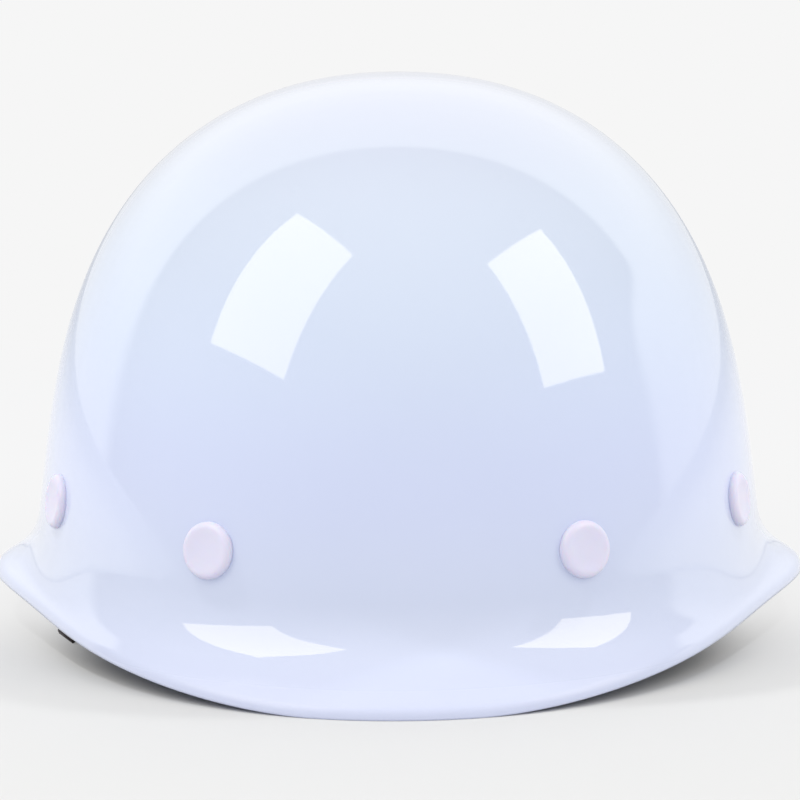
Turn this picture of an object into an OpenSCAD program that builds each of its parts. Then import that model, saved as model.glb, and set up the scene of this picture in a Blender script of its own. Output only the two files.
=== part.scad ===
// Safety helmet: moulded shell with an all-round brim, riveted suspension, ratchet headband
// and chin strap. Millimetres, +Z up, front towards -Y, standing on its rim at the origin.

/* [Shell] */
// Overall height of the shell above the table
helmet_h = 149.2; // [140:0.1:160]
// Half width of the dome at its base
dome_half_w = 100; // [96:0.1:104]
// Half length of the dome at its base, mean of front and rear
dome_half_l = 116; // [113:0.1:119]
// Extra half length at the rear, taken from the front
dome_rear_extra = 1.5; // [0:0.1:3]
// Height at which the dome has its full plan
dome_base_z = 30; // [26:0.5:34]
// Share of its plan that the wall loses to draft
dome_draft = 0.145; // [0.12:0.005:0.17]
// Power of the crown curve, higher is flatter on top
crown_power = 3.2; // [2.8:0.1:3.6]
// Power of the shoulder curve, higher is squarer
shoulder_power = 2.2; // [2:0.1:2.5]
// Thickness of the moulded wall
wall = 2.4; // [2:0.1:2.8]
// Half width over the brim points at the ears
rim_half_w = 113; // [111:0.5:117]
// Half length over the brim
rim_half_l = 134; // [131:0.5:138]
// How far the brim flank lies inside the oval through its points
rim_flare = 10.4; // [6:0.1:12]
// Power of the point at each ear, higher is sharper
flare_power = 23; // [12:1:30]
// Height of the rim over the table at the ears
side_lift = 11.3; // [8:0.1:14]
// Share of the half width over which the rim lies on the table
level_share = 0.2; // [0.15:0.01:0.3]
// Power of the rise from the table to the ears
lift_power = 1.6; // [1.4:0.05:2]
// Height of the dome's foot over the rim, at the front and rear
foot_front = 24.8; // [22:0.1:28]
// Height of the dome's foot over the rim, at the sides
foot_side = 19.2; // [17:0.1:22]
// Radius of the lip that turns down at the edge
lip_r = 4; // [3:0.1:5]
// Slope at which the brim meets the lip, in degrees
brim_slope = 32; // [26:1:38]
// Reach of the curve below the dome's foot
foot_reach = 0.86; // [0.7:0.01:1]
// Reach of the curve above the lip
lip_reach = 0.35; // [0.25:0.01:0.45]

/* [Rivets] */
// Angle of the front and rear rivets from the middle line
rivet_turn_1 = 28.1; // [26:0.1:30]
// Angle of the side rivets from the middle line
rivet_turn_2 = 65.8; // [63:0.1:68]
// Height of the front and rear rivets
rivet_z_1 = 35.3; // [34:0.1:38]
// Height of the side rivets
rivet_z_2 = 38.1; // [36:0.1:40]
// Diameter of the rivet head
rivet_head_d = 14.5; // [12:0.1:16]
// Thickness of the rivet head
rivet_head_t = 2.3; // [1.8:0.1:2.8]
// Radius round the edge of the rivet head
rivet_edge_r = 0.9; // [0.5:0.1:1.2]
// Diameter of the rivet shank
rivet_d = 6; // [5:0.1:7]
// Clearance of the shank in its holes
rivet_fit = 0.1; // [0.05:0.01:0.2]
// Diameter of the formed tail
rivet_tail_d = 9.4; // [8.5:0.1:10.5]
// Height of the formed tail
rivet_tail_t = 1.5; // [1.2:0.1:2]
// Diameter of the washer under the tail
washer_d = 12; // [11:0.1:13]
// Thickness of the washer
washer_t = 1; // [0.8:0.1:1.4]

/* [Hangers] */
// Gap between the wall and the hanger plate
hanger_gap = 1.3; // [1.1:0.1:1.8]
// Thickness of the hanger plate
hanger_t = 2.2; // [1.8:0.1:2.8]
// Length of the plate above the rivet
hanger_up = 14; // [13:0.5:16]
// Length of the plate below the rivet
hanger_down = 9; // [8:0.5:10]
// Corner radius of the plate
hanger_r = 4; // [2:0.5:6]
// Thickness of each cheek beside the strap
cheek_t = 2; // [1.6:0.1:2.6]
// Height of the yoke bar above the rivet
bar_up = 20.5; // [20:0.5:21.5]
// Distance of the yoke bar inside the outer skin
bar_in = 12; // [11.5:0.5:12.5]
// Diameter of the yoke bar
bar_d = 4; // [3:0.1:5]
// Height of the headband ledge above the rivet
ledge_up = 8.5; // [8:0.1:10]
// Thickness of the ledge
ledge_t = 2; // [1.6:0.1:2.6]
// How far the ledge stands out
ledge_out = 6.5; // [6:0.1:7.5]
// Width of the ledge
ledge_w = 13; // [11:0.5:15]
// Height of the prong on the ledge
prong_h = 5; // [4:0.1:6]

/* [Liner and crown straps] */
// Height of the liner's lower edge
liner_z = 74; // [72:0.5:78]
// Thickness of the foam liner
liner_t = 10; // [8:0.5:11]
// Gap between soft parts and what carries them
soft_gap = 0.4; // [0.3:0.05:0.6]
// Width of the crown webbing
strap_w = 18; // [16:0.5:19]
// Thickness of the webbing
strap_t = 1.3; // [1:0.1:1.5]
// Height of the top strap where the straps cross
crossing_z = 113; // [110:0.5:116]
// Step between one strap and the next at the crossing
crossing_step = 2; // [1.9:0.1:2.2]
// Diameter of the sewn patch under the crossing
patch_d = 26; // [20:1:30]

/* [Headband] */
// Room between the dome and the inside of the headband, at each side
band_side_room = 21.5; // [20.8:0.1:22.2]
// Room between the dome and the inside of the headband, in front
band_front_room = 17; // [16:0.1:19]
// Room between the dome and the inside of the headband, at the nape
band_rear_room = 24; // [23:0.1:25.5]
// How much the band's radius round the forehead is under its half width
brow_narrow = 12.5; // [11:0.5:14]
// How much the band's radius round the nape is under its half width
nape_narrow = 6.5; // [5.5:0.1:7.5]
// Thickness of the band
band_t = 1.8; // [1.5:0.1:2.2]
// Height of the band's upper edge in front
band_top = 49; // [48:0.5:49.5]
// Height of the band's lower edge in front
band_low = 24; // [24:0.5:27]
// Height of the upper edge at the nape
tail_top = 35; // [34.5:0.1:37]
// Height of the lower edge at the nape
tail_low = 8; // [6:0.5:10]
// Where the edges begin to fall, behind the middle
fall_from = 44; // [40:1:46]
// Where the edges have fallen
fall_to = 84; // [80:1:86]
// Angle from the middle line at which each tail ends
tail_end = 24; // [23.5:0.1:26]
// Length of each vent slot at the sides
vent_l = 11; // [8:0.5:12]
// Height of each vent slot
vent_h = 6; // [4:0.5:8]
// Distance from one vent slot to the next
vent_step = 16; // [14:0.5:17]
// Height of the beads along the two edges
bead_h = 2; // [1.5:0.1:3]
// How far the beads stand out
bead_t = 0.6; // [0.4:0.1:0.8]
// Thickness of a hook tab
tab_t = 2; // [1.6:0.1:2.4]
// Width of a hook tab
tab_w = 12; // [11:0.5:13]
// Length of the slot over the prong, across the tab
tab_slot_w = 7; // [6:0.1:8]
// Thickness of the prong
prong_t = 2; // [1.6:0.1:2.4]
// Thickness of the sweatband
pad_t = 3; // [2:0.1:3.5]
// Height of the sweatband
pad_h = 22; // [20:0.5:22.5]
// Angle that the sweatband reaches to each side of the front
pad_turn = 78; // [60:1:82]

/* [Nape ratchet] */
// Height of the ratchet axis
ratchet_z = 19; // [18.5:0.1:19.5]
// Tooth module
tooth_m = 1.25; // [1.2:0.05:1.3]
// Number of pinion teeth
pinion_teeth = 12; // [11:1:13]
// Backlash between the teeth
backlash = 0.25; // [0.2:0.01:0.3]
// Thickness of each toothed arm
arm_t = 1.4; // [1.2:0.1:1.5]
// Gap between the arms and what they slide on
arm_gap = 0.3; // [0.25:0.01:0.35]
// Height of the arms
arm_h = 24; // [23:0.1:25]
// Angle from the middle line to an arm's outer end
arm_out = 46; // [44:1:47]
// Angle past the middle line to an arm's free end
arm_past = 23; // [22.5:0.5:25]
// Furthest turn of each arm from rest, in degrees
arm_travel = 12; // [10:0.5:12]
// Half angle of the ratchet housing
housing_turn = 23.4; // [22.5:0.1:23.4]
// Height of each rail above and below the arms
rail_h = 2.2; // [2:0.1:2.6]
// Thickness of the cover
cover_t = 2; // [1.8:0.1:2.4]
// Diameter of the knob
knob_d = 32; // [28:0.5:34]
// Depth of the knob
knob_t = 9; // [8:0.1:10]
// Wall of the knob
knob_wall = 2.2; // [1.8:0.1:2.6]
// Number of finger grooves round the knob
knob_grooves = 18; // [12:1:24]
// Diameter of the ratchet shaft
shaft_d = 6; // [5:0.1:7]
// Running clearance of shafts and pins
run_fit = 0.06; // [0.03:0.01:0.09]
// Clearance between the knob and the cover
knob_gap = 0.4; // [0.3:0.05:0.6]
// Number of notches inside the knob
notches = 24; // [18:1:30]
// Thickness of the nape pad
nape_pad_t = 4; // [3:0.1:5]

/* [Ear straps] */
// Distance of each ear strap's outer face from the inside of the headband
ear_room = 5.7; // [5.4:0.1:5.9]
// Width of the ear webbing
ear_w = 15; // [13:0.5:15.5]
// Thickness of the ear webbing
ear_t = 1.2; // [1:0.1:1.3]
// How far in front of the middle the chin strap turns
pivot_y = 38; // [36:0.5:40]
// Height of the point where the chin strap turns
pivot_z = 11.5; // [11.2:0.1:12.5]
// Diameter of the pivot rivet
pivot_d = 5; // [4:0.1:5.5]
// Diameter of the pivot rivet's outer head
pivot_head_d = 11; // [10:0.5:12]
// Thickness of the pivot rivet's heads
pivot_head_t = 1.4; // [1.2:0.1:1.8]

/* [Chin strap] */
// Width of the chin webbing
chin_w = 15; // [13:0.5:15.5]
// Thickness of the chin webbing
chin_t = 1.4; // [1.2:0.1:1.6]
// Radius of the stowed bend
bend_r = 50; // [46:1:52]
// Distance behind the pivot at which the stowed strap turns inwards
leg_from = 16; // [15:0.5:17]
// How far behind the middle the stowed strap reaches
strap_rear = 58; // [54:0.5:60]
// Thickness of the moulded eye at each end
eye_t = 2; // [1.8:0.1:2.2]
// Diameter of the eye
eye_d = 14; // [13:0.5:15]
// Place of the buckle plug along the strap
plug_from = 6; // [5:0.5:7]
// Length of the buckle socket
socket_l = 25; // [24:0.5:26]
// Width of the buckle
buckle_w = 21; // [20:0.5:22]
// Thickness of the buckle
buckle_t = 8; // [7:0.1:8.5]
// Wall of the buckle socket
buckle_wall = 1.4; // [1.2:0.1:1.6]
// Clearance of the plug in the socket
plug_fit = 0.3; // [0.2:0.05:0.35]
// Length of the plug body in front of the socket
plug_l = 12; // [11:0.5:13]
// How far the socket pulls off the plug
socket_travel = 18; // [16:0.5:19]
// Place of the length slider along the other leg
slider_at = 24; // [20:0.5:28]
// Travel of the length slider each way
slider_travel = 10; // [6:0.5:12]
// Place of the keeper along the other leg
keeper_at = 52; // [50:0.5:54]

/* [Hidden] */
$fn = 48;
HANGER_NAMES = [
  "hanger_front_left", "hanger_front_right", "hanger_side_front_left", "hanger_side_front_right",
  "hanger_side_rear_left", "hanger_side_rear_right", "hanger_rear_left", "hanger_rear_right"
];
// How far a cut runs past what it cuts
PAST = 5;

// Colours
SHELL_C = [0.88, 0.90, 0.97];
RIVET_C = [0.91, 0.90, 0.96];
HANGER_C = [0.82, 0.83, 0.85];
FOAM_C = [0.95, 0.95, 0.94];
WEB_C = [0.80, 0.81, 0.84];
BAND_C = [0.86, 0.87, 0.88];
PAD_C = [0.30, 0.31, 0.34];
BLACK_C = [0.16, 0.16, 0.18];
STRAP_C = [0.24, 0.19, 0.19];
STEEL_C = [0.72, 0.73, 0.75];

// Turns of the eight rivets, counted from +X towards +Y, in the order of HANGER_NAMES
RIVET_TURN = [
  -90 - rivet_turn_1, -90 + rivet_turn_1, -90 - rivet_turn_2, -90 + rivet_turn_2,
  90 + rivet_turn_2, 90 - rivet_turn_2, 90 + rivet_turn_1, 90 - rivet_turn_1
];
RIVET_Z = [
  rivet_z_1, rivet_z_1, rivet_z_2, rivet_z_2,
  rivet_z_2, rivet_z_2, rivet_z_1, rivet_z_1
];
// Which hangers also clamp an ear strap, and which carry a headband tab
EAR_HANGERS = [2, 3, 4, 5];
TAB_HANGERS = [0, 1, 2, 3, 4, 5];
// Hangers at the two ends of each crown strap, top strap first
STRAP_ENDS = [[0, 7], [1, 6], [2, 5], [3, 4]];

// Plain vector helpers
function clamped(v, low, high) = max(low, min(high, v));
function unit(v) = v / norm(v);
function flat(v) = [v.x, v.y, 0];
function mix(a, b, k) = a + (b - a) * k;
function ease(k) = let (c = clamped(k, 0, 1)) c * c * (3 - 2 * c);
function turned(v, a) = [v.x * cos(a) - v.y * sin(a), v.x * sin(a) + v.y * cos(a)];
function has(list, v) = len([for (e = list) if (e == v) 1]) > 0;

// Shell skin: dome above its foot, then the flared brim, then the lip
function dome_share(z) = let (u = clamped((z - dome_base_z) / (helmet_h - dome_base_z), -1, 1))
  (1 - dome_draft * u) * pow(1 - pow(max(u, 0), crown_power), 1 / shoulder_power);
function dome_pt(t, z) = let (g = dome_share(z))
  [dome_half_w * g * cos(t), (dome_half_l + dome_rear_extra * sin(t)) * g * sin(t), z];
function rim_z(t) = side_lift
  * pow(clamped((abs(cos(t)) - level_share) / (1 - level_share), 0, 1), lift_power);
function foot_z(t) = rim_z(t) + mix(foot_front, foot_side, pow(cos(t), 2));
function rim_pt(t) = [
  (rim_half_w - rim_flare * (1 - pow(abs(cos(t)), flare_power))) * cos(t),
  rim_half_l * sin(t),
  rim_z(t)
];
function lip_out(t) = unit(flat(rim_pt(t) - dome_pt(t, foot_z(t))));
function lip_pt(t, a) = rim_pt(t) - lip_r * lip_out(t) + lip_r * (sin(a) * lip_out(t) + [0, 0, cos(a)]);
function foot_down(t) = unit(dome_pt(t, foot_z(t)) - dome_pt(t, foot_z(t) + 0.5));
function brim_pt(t, k) =
  let (
    a = dome_pt(t, foot_z(t)),
    d = lip_pt(t, brim_slope),
    b = a + foot_down(t) * foot_reach * (a.z - d.z),
    c = d + (sin(brim_slope) * [0, 0, 1] - cos(brim_slope) * lip_out(t)) * lip_reach * norm(d - a)
  )
  pow(1 - k, 3) * a + 3 * k * pow(1 - k, 2) * b + 3 * k * k * (1 - k) * c + pow(k, 3) * d;
// Skin at turn t: s runs 0 to 1 down the dome, 1 to 2 over the brim and 2 to 3 round the lip
function skin_pt(t, s) =
  s < 1 ? dome_pt(t, mix(foot_z(t), helmet_h, cos(90 * s)))
  : s < 2 ? brim_pt(t, s - 1)
  : lip_pt(t, mix(brim_slope, 90, s - 2));
function skin_out(t, s) =
  let (
    along = skin_pt(t + 0.4, s) - skin_pt(t - 0.4, s),
    down = skin_pt(t, min(s + 0.01, 3)) - skin_pt(t, s - 0.01)
  )
  unit(cross(down, along));
function inset_pt(t, s, depth) =
  s >= 3 ? rim_pt(t) - depth * lip_out(t) : skin_pt(t, s) - depth * skin_out(t, s);

// Closed bowl from stacked rings: down the outside, round the edge and up the inside
module bowl(rings, top_out, top_in) {
  n = len(rings[0]);
  m = len(rings);
  last = 1 + n * m;
  function at(i, j) = 1 + i * n + j % n;
  polyhedron(
    concat([top_out], [for (r = rings) each r], [top_in]),
    concat(
      [for (j = [0:n - 1]) [0, at(0, j + 1), at(0, j)]],
      [for (i = [0:m - 2], j = [0:n - 1]) [at(i, j), at(i, j + 1), at(i + 1, j + 1)]],
      [for (i = [0:m - 2], j = [0:n - 1]) [at(i, j), at(i + 1, j + 1), at(i + 1, j)]],
      [for (j = [0:n - 1]) [at(m - 1, j), at(m - 1, j + 1), last]]
    )
  );
}

// Closed bar swept through sections that all have the same number of points
module swept(sections) {
  n = len(sections[0]);
  m = len(sections);
  function middle(ring) = [for (v = [0:2]) sum([for (q = ring) q[v]]) / n];
  function at(i, j) = i * n + j % n;
  polyhedron(
    concat([for (r = sections) each r], [middle(sections[0]), middle(sections[m - 1])]),
    concat(
      [for (i = [0:m - 2], j = [0:n - 1]) [at(i, j), at(i, j + 1), at(i + 1, j + 1)]],
      [for (i = [0:m - 2], j = [0:n - 1]) [at(i, j), at(i + 1, j + 1), at(i + 1, j)]],
      [for (j = [0:n - 1]) [n * m, at(0, j + 1), at(0, j)]],
      [for (j = [0:n - 1]) [n * m + 1, at(m - 1, j), at(m - 1, j + 1)]]
    )
  );
}
function sum(v, i = 0) = i < len(v) ? v[i] + sum(v, i + 1) : 0;

// Places of the rivets on the skin
function rivet_pt(i) = dome_pt(RIVET_TURN[i], RIVET_Z[i]);
function rivet_out(i) =
  let (t = RIVET_TURN[i], z = RIVET_Z[i])
  unit(cross(dome_pt(t, z - 0.5) - dome_pt(t, z + 0.5), dome_pt(t + 0.4, z) - dome_pt(t - 0.4, z)));
function rivet_lean(i) = acos(rivet_out(i).z);
function rivet_bearing(i) = atan2(rivet_out(i).y, rivet_out(i).x);
// A point given from the rivet: x down the wall, y round the shell and z out of it
function from_rivet(i, v) =
  let (a = rivet_lean(i), b = rivet_bearing(i))
  rivet_pt(i)
  + v.x * [cos(a) * cos(b), cos(a) * sin(b), -sin(a)]
  + v.y * [-sin(b), cos(b), 0]
  + v.z * rivet_out(i);
module at_rivet(i) {
  translate(rivet_pt(i))
    rotate([0, rivet_lean(i), rivet_bearing(i)])
      children();
}

// Levels behind a rivet, counted inwards from the skin
plate_out_z = -(wall + hanger_gap);
plate_in_z = plate_out_z - hanger_t;
ear_seat = 0.1;
function washer_z(i) = plate_in_z - (has(EAR_HANGERS, i) ? ear_t + 2 * ear_seat : 0);

SHELL_TURNS = 72;
DOME_RINGS = 18;
DOME_RINGS_INSIDE = 14;
BRIM_RINGS = 7;
BRIM_RINGS_INSIDE = 6;
LIP_RINGS = 3;

module shell() color(SHELL_C) {
  turns = [for (k = [0:SHELL_TURNS - 1]) 360 * k / SHELL_TURNS];
  down = concat(
    [for (k = [1:DOME_RINGS]) k / DOME_RINGS],
    [for (k = [1:BRIM_RINGS]) 1 + k / BRIM_RINGS],
    [for (k = [1:LIP_RINGS]) 2 + k / LIP_RINGS]
  );
  up = concat(
    [for (k = [LIP_RINGS:-1:1]) 2 + k / LIP_RINGS],
    [for (k = [BRIM_RINGS_INSIDE:-1:1]) 1 + k / BRIM_RINGS_INSIDE],
    [for (k = [DOME_RINGS_INSIDE:-1:1]) k / DOME_RINGS_INSIDE]
  );
  difference() {
    bowl(
      concat(
        [for (s = down) [for (t = turns) skin_pt(t, s)]],
        [for (s = up) [for (t = turns) inset_pt(t, s, wall)]]
      ),
      [0, 0, helmet_h],
      [0, 0, helmet_h - wall]
    );
    for (i = [0:7])
      at_rivet(i)
        translate([0, 0, -2 * wall])
          cylinder(d = rivet_d + 2 * rivet_fit, h = 3 * wall);
  }
}

module rounded_disc(r, h, e) {
  rotate_extrude()
    union() {
      square([r - e, h]);
      square([r, h - e]);
      intersection() {
        translate([r - e, h - e]) circle(e);
        square([r, h]);
      }
    }
}

HEAD_SEAT = 0.05;
module shell_rivets() color(RIVET_C)
  for (i = [0:7])
    at_rivet(i) {
      tail_z = washer_z(i) - washer_t;
      translate([0, 0, HEAD_SEAT])
        rounded_disc(rivet_head_d / 2, rivet_head_t, rivet_edge_r);
      translate([0, 0, tail_z - 0.5])
        cylinder(d = rivet_d, h = HEAD_SEAT + 0.5 - tail_z + 0.5);
      translate([0, 0, tail_z])
        mirror([0, 0, 1])
          rounded_disc(rivet_tail_d / 2, rivet_tail_t, rivet_tail_t * 0.6);
    }

module rivet_washers() color(STEEL_C)
  for (i = [0:7])
    at_rivet(i)
      translate([0, 0, washer_z(i) - washer_t])
        difference() {
          cylinder(d = washer_d, h = washer_t);
          translate([0, 0, -1]) cylinder(d = rivet_d + 2 * rivet_fit, h = washer_t + 2);
        }

// Rounded rectangle from corner a to corner b
module rounded_rect(a, b, r) {
  translate([a.x + r, a.y]) square([b.x - a.x - 2 * r, b.y - a.y]);
  translate([a.x, a.y + r]) square([b.x - a.x, b.y - a.y - 2 * r]);
  for (x = [a.x + r, b.x - r], y = [a.y + r, b.y - r])
    translate([x, y]) circle(r);
}

// Yoke bar of each hanger, square to the strap that goes round it
yoke_inside = strap_w + 2.6;
plate_w = yoke_inside + 2 * cheek_t;
function bar_pt(i) = from_rivet(i, [-bar_up, 0, -bar_in]);
function bar_bearing(i) = atan2(bar_pt(i).y, bar_pt(i).x);
boss_d = washer_d + 1;
BOSS_SEAT = 0.35;
// Prong that holds a headband tab down on the ledge
prong_top = -ledge_up - ledge_t - prong_h;
prong_w = tab_slot_w - 2 * soft_gap;
prong_z = plate_in_z - ledge_out + 1.2;

module hanger(i) color(HANGER_C) {
  bar_r = bar_d / 2;
  nose = bar_r + 1.8;
  difference() {
    union() {
      at_rivet(i) {
        translate([0, 0, plate_in_z])
          linear_extrude(hanger_t)
            rounded_rect([-hanger_up, -plate_w / 2], [hanger_down, plate_w / 2], hanger_r);
        translate([0, 0, plate_out_z - 0.5])
          cylinder(d = boss_d, h = hanger_gap - BOSS_SEAT + 0.5);
        for (y = [-1, 1])
          translate([0, y * (plate_w - cheek_t) / 2, 0])
            rotate([90, 0, 0])
              linear_extrude(cheek_t, center = true)
                polygon([
                  [hanger_down - 2 * hanger_r, plate_in_z + hanger_t / 2],
                  [-hanger_up + hanger_r, plate_in_z + hanger_t / 2],
                  [-bar_up - nose, -bar_in + nose],
                  [-bar_up - nose, -bar_in - nose / 2],
                  [-bar_up - nose / 2, -bar_in - nose],
                  [-bar_up + nose, -bar_in - nose / 2],
                  [-ledge_up, plate_in_z - ledge_out / 2],
                ]);
        translate([-ledge_up - ledge_t, -ledge_w / 2, plate_in_z - ledge_out])
          cube([ledge_t, ledge_w, ledge_out + hanger_t / 2]);
        translate([prong_top, -prong_w / 2, prong_z])
          cube([prong_h + ledge_t / 2, prong_w, prong_t]);
      }
      translate(bar_pt(i))
        rotate([90, 0, bar_bearing(i)])
          cylinder(d = bar_d, h = plate_w - cheek_t, center = true);
    }
    at_rivet(i)
      translate([0, 0, plate_in_z - 1])
        cylinder(d = rivet_d + 2 * rivet_fit, h = hanger_t + hanger_gap + 2);
  }
}

LINER_TURNS = 48;
LINER_RINGS = 10;
function liner_low_s(t) = acos((liner_z - foot_z(t)) / (helmet_h - foot_z(t))) / 90;
module impact_liner() color(FOAM_C) {
  outer = wall + soft_gap;
  inner = outer + liner_t;
  turns = [for (k = [0:LINER_TURNS - 1]) 360 * k / LINER_TURNS];
  bowl(
    concat(
      [for (k = [1:LINER_RINGS]) [for (t = turns) inset_pt(t, liner_low_s(t) * k / LINER_RINGS, outer)]],
      [for (k = [LINER_RINGS:-1:1]) [for (t = turns) inset_pt(t, liner_low_s(t) * k / LINER_RINGS, inner)]]
    ),
    [0, 0, helmet_h - outer],
    [0, 0, helmet_h - inner]
  );
}

// Crown straps: half straps in upright planes, each sewn in a loop round its hanger's bar
STRAP_STEPS = 14;
loop_r = bar_d / 2 + soft_gap;
function strap_path(reach, low, high) =
  let (
    a = [reach, low],
    b = a + 25 * [-0.45, 0.89],
    c = [reach * 0.55, high],
    d = [0, high]
  )
  [for (j = [0:STRAP_STEPS]) let (k = j / STRAP_STEPS)
    pow(1 - k, 3) * a + 3 * k * pow(1 - k, 2) * b + 3 * k * k * (1 - k) * c + pow(k, 3) * d];
// Direction of a path at point j, and the path moved sideways
function path_dir(p, j) = unit(p[min(j + 1, len(p) - 1)] - p[max(j - 1, 0)]);
function beside(p, off) = [for (j = [0:len(p) - 1])
  let (
    d = path_dir(p, j),
    before = j > 0 ? unit(p[j] - p[j - 1]) : d,
    after = j < len(p) - 1 ? unit(p[j + 1] - p[j]) : d,
    m = unit(before + after)
  )
  p[j] + off / max(m * after, 0.5) * [-m.y, m.x]];
function reversed(v) = [for (j = [len(v) - 1:-1:0]) v[j]];
module ribbon(p, t) {
  polygon(concat(beside(p, t / 2), reversed(beside(p, -t / 2))));
}

function bar_reach(i) = norm([bar_pt(i).x, bar_pt(i).y]);
function half_path(i, high) = strap_path(bar_reach(i) - loop_r, bar_pt(i).z + loop_r / 2, high);
function strap_high(n) = crossing_z - n * crossing_step;

module half_strap(i, high) {
  bar = bar_pt(i);
  reach = bar_reach(i);
  rotate([0, 0, bar_bearing(i)])
    rotate([90, 0, 0])
      linear_extrude(strap_w, center = true)
        difference() {
          union() {
            translate([reach, bar.z]) circle(loop_r + strap_t);
            ribbon(half_path(i, high), strap_t);
          }
          translate([reach, bar.z]) circle(loop_r);
        }
}
module crown_strap(n) color(WEB_C) {
  for (i = STRAP_ENDS[n])
    half_strap(i, strap_high(n));
}
module crown_patch() color(WEB_C) {
  path = reversed(half_path(STRAP_ENDS[3][0], strap_high(3)));
  under = lookup(patch_d / 2, path) - strap_t / 2 - 0.3;
  translate([0, 0, under - strap_t])
    cylinder(d = patch_d, h = strap_t);
}

// Plan of the headband: an egg of four arcs, the wide end at the nape
band_half_w = dome_half_w - band_side_room;
band_front = dome_half_l - dome_rear_extra - band_front_room;
band_rear = dome_half_l + dome_rear_extra - band_rear_room;
band_front_r = band_half_w - brow_narrow;
nape_r = band_half_w - nape_narrow;
ear_x = band_half_w + ear_room;
nape_cy = band_rear - nape_r;
brow_cy = band_front_r - band_front;
side_k = (nape_r - band_front_r) / (nape_cy - brow_cy);
side_m = (pow(nape_cy, 2) - pow(brow_cy, 2) - pow(nape_r, 2) + pow(band_front_r, 2))
  / (2 * (nape_cy - brow_cy));
side_a = side_k * side_k;
side_b = 2 * side_k * (side_m - nape_cy) - 2 * (band_half_w - nape_r);
side_c = pow(side_m - nape_cy, 2) - pow(nape_r, 2) + pow(band_half_w, 2);
side_r = (-side_b - sqrt(side_b * side_b - 4 * side_a * side_c)) / (2 * side_a);
side_cx = band_half_w - side_r;
side_cy = side_k * side_r + side_m;
// Angles from the middle line at which the side arcs begin
nape_turn = atan2(-side_cx, nape_cy - side_cy);
brow_turn = atan2(-side_cx, side_cy - brow_cy);
function arc(c, r, a, b, n) = [for (k = [0:n]) c + r * [sin(mix(a, b, k / n)), cos(mix(a, b, k / n))]];
function egg(off) = concat(
  arc([0, nape_cy], nape_r + off, -nape_turn, nape_turn, 28),
  arc([side_cx, side_cy], side_r + off, nape_turn, 180 - brow_turn, 14),
  arc([0, brow_cy], band_front_r + off, 180 - brow_turn, 180 + brow_turn, 28),
  arc([-side_cx, side_cy], side_r + off, 180 + brow_turn, 360 - nape_turn, 14)
);
// Distance of a point outside the egg moved out by off
function egg_gap(p, off) =
  let (q = [abs(p.x), p.y])
  atan2(q.x, q.y - nape_cy) < nape_turn ? norm(q - [0, nape_cy]) - nape_r - off
  : atan2(q.x, brow_cy - q.y) < brow_turn ? norm(q - [0, brow_cy]) - band_front_r - off
  : norm(q - [side_cx, side_cy]) - side_r - off;
// Walk from p along d until the egg is met
function egg_reach(p, d, off, steps = 12) =
  steps == 0 ? 0
  : let (g = egg_gap(p, off)) g + egg_reach(p + g * d, d, off, steps - 1);

FALL_STEPS = 12;
function fall_edge(high, low) = [for (k = [0:FALL_STEPS])
  [mix(fall_from, fall_to, k / FALL_STEPS), mix(high, low, ease(k / FALL_STEPS))]];
FAR = 160;
module headband_side_view() {
  polygon(concat(
    [[-FAR, band_low], [-FAR, band_top]],
    fall_edge(band_top, tail_top),
    [[FAR, tail_top], [FAR, tail_low]],
    reversed(fall_edge(band_low, tail_low))
  ));
}

tab_x = -ledge_up - ledge_t - tab_t - 0.05;
module headband_tab(i) {
  start = from_rivet(i, [tab_x + tab_t / 2, 0, plate_in_z]);
  inward = -unit([rivet_out(i).x, rivet_out(i).y]);
  reach = egg_reach([start.x, start.y], inward, band_t) / sin(rivet_lean(i)) + band_t / 2;
  at_rivet(i)
    difference() {
      translate([tab_x, -tab_w / 2, plate_in_z - reach])
        cube([tab_t, tab_w, reach - soft_gap]);
      translate([tab_x - 1, -tab_slot_w / 2, prong_z - soft_gap])
        cube([tab_t + 2, tab_slot_w, prong_t + 2 * soft_gap]);
    }
}
// Bead round the outside of an edge, as far back as the edge is level
module headband_bead(low) {
  intersection() {
    translate([0, 0, low])
      linear_extrude(bead_h)
        difference() {
          polygon(egg(band_t + bead_t));
          polygon(egg(band_t / 2));
        }
    translate([-FAR, -FAR, 0])
      cube([2 * FAR, FAR + fall_from, helmet_h]);
  }
}
module vent_slot() {
  square([vent_l - vent_h, vent_h], center = true);
  for (y = [-1, 1] * (vent_l - vent_h) / 2)
    translate([y, 0]) circle(d = vent_h);
}
module headband() color(BAND_C)
  union() {
    difference() {
      intersection() {
        linear_extrude(helmet_h)
          difference() {
            polygon(egg(band_t));
            polygon(egg(0));
          }
        rotate([90, 0, 90])
          linear_extrude(2 * FAR, center = true)
            difference() {
              headband_side_view();
              for (k = [-2:2])
                translate([k * vent_step, (band_low + band_top) / 2]) vent_slot();
            }
      }
      linear_extrude(helmet_h)
        polygon([
          [0, nape_cy],
          [-FAR * tan(tail_end), nape_cy + FAR],
          [FAR * tan(tail_end), nape_cy + FAR]
        ]);
    }
    headband_bead(band_low);
    headband_bead(band_top - bead_h);
    for (i = TAB_HANGERS)
      headband_tab(i);
  }

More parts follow.
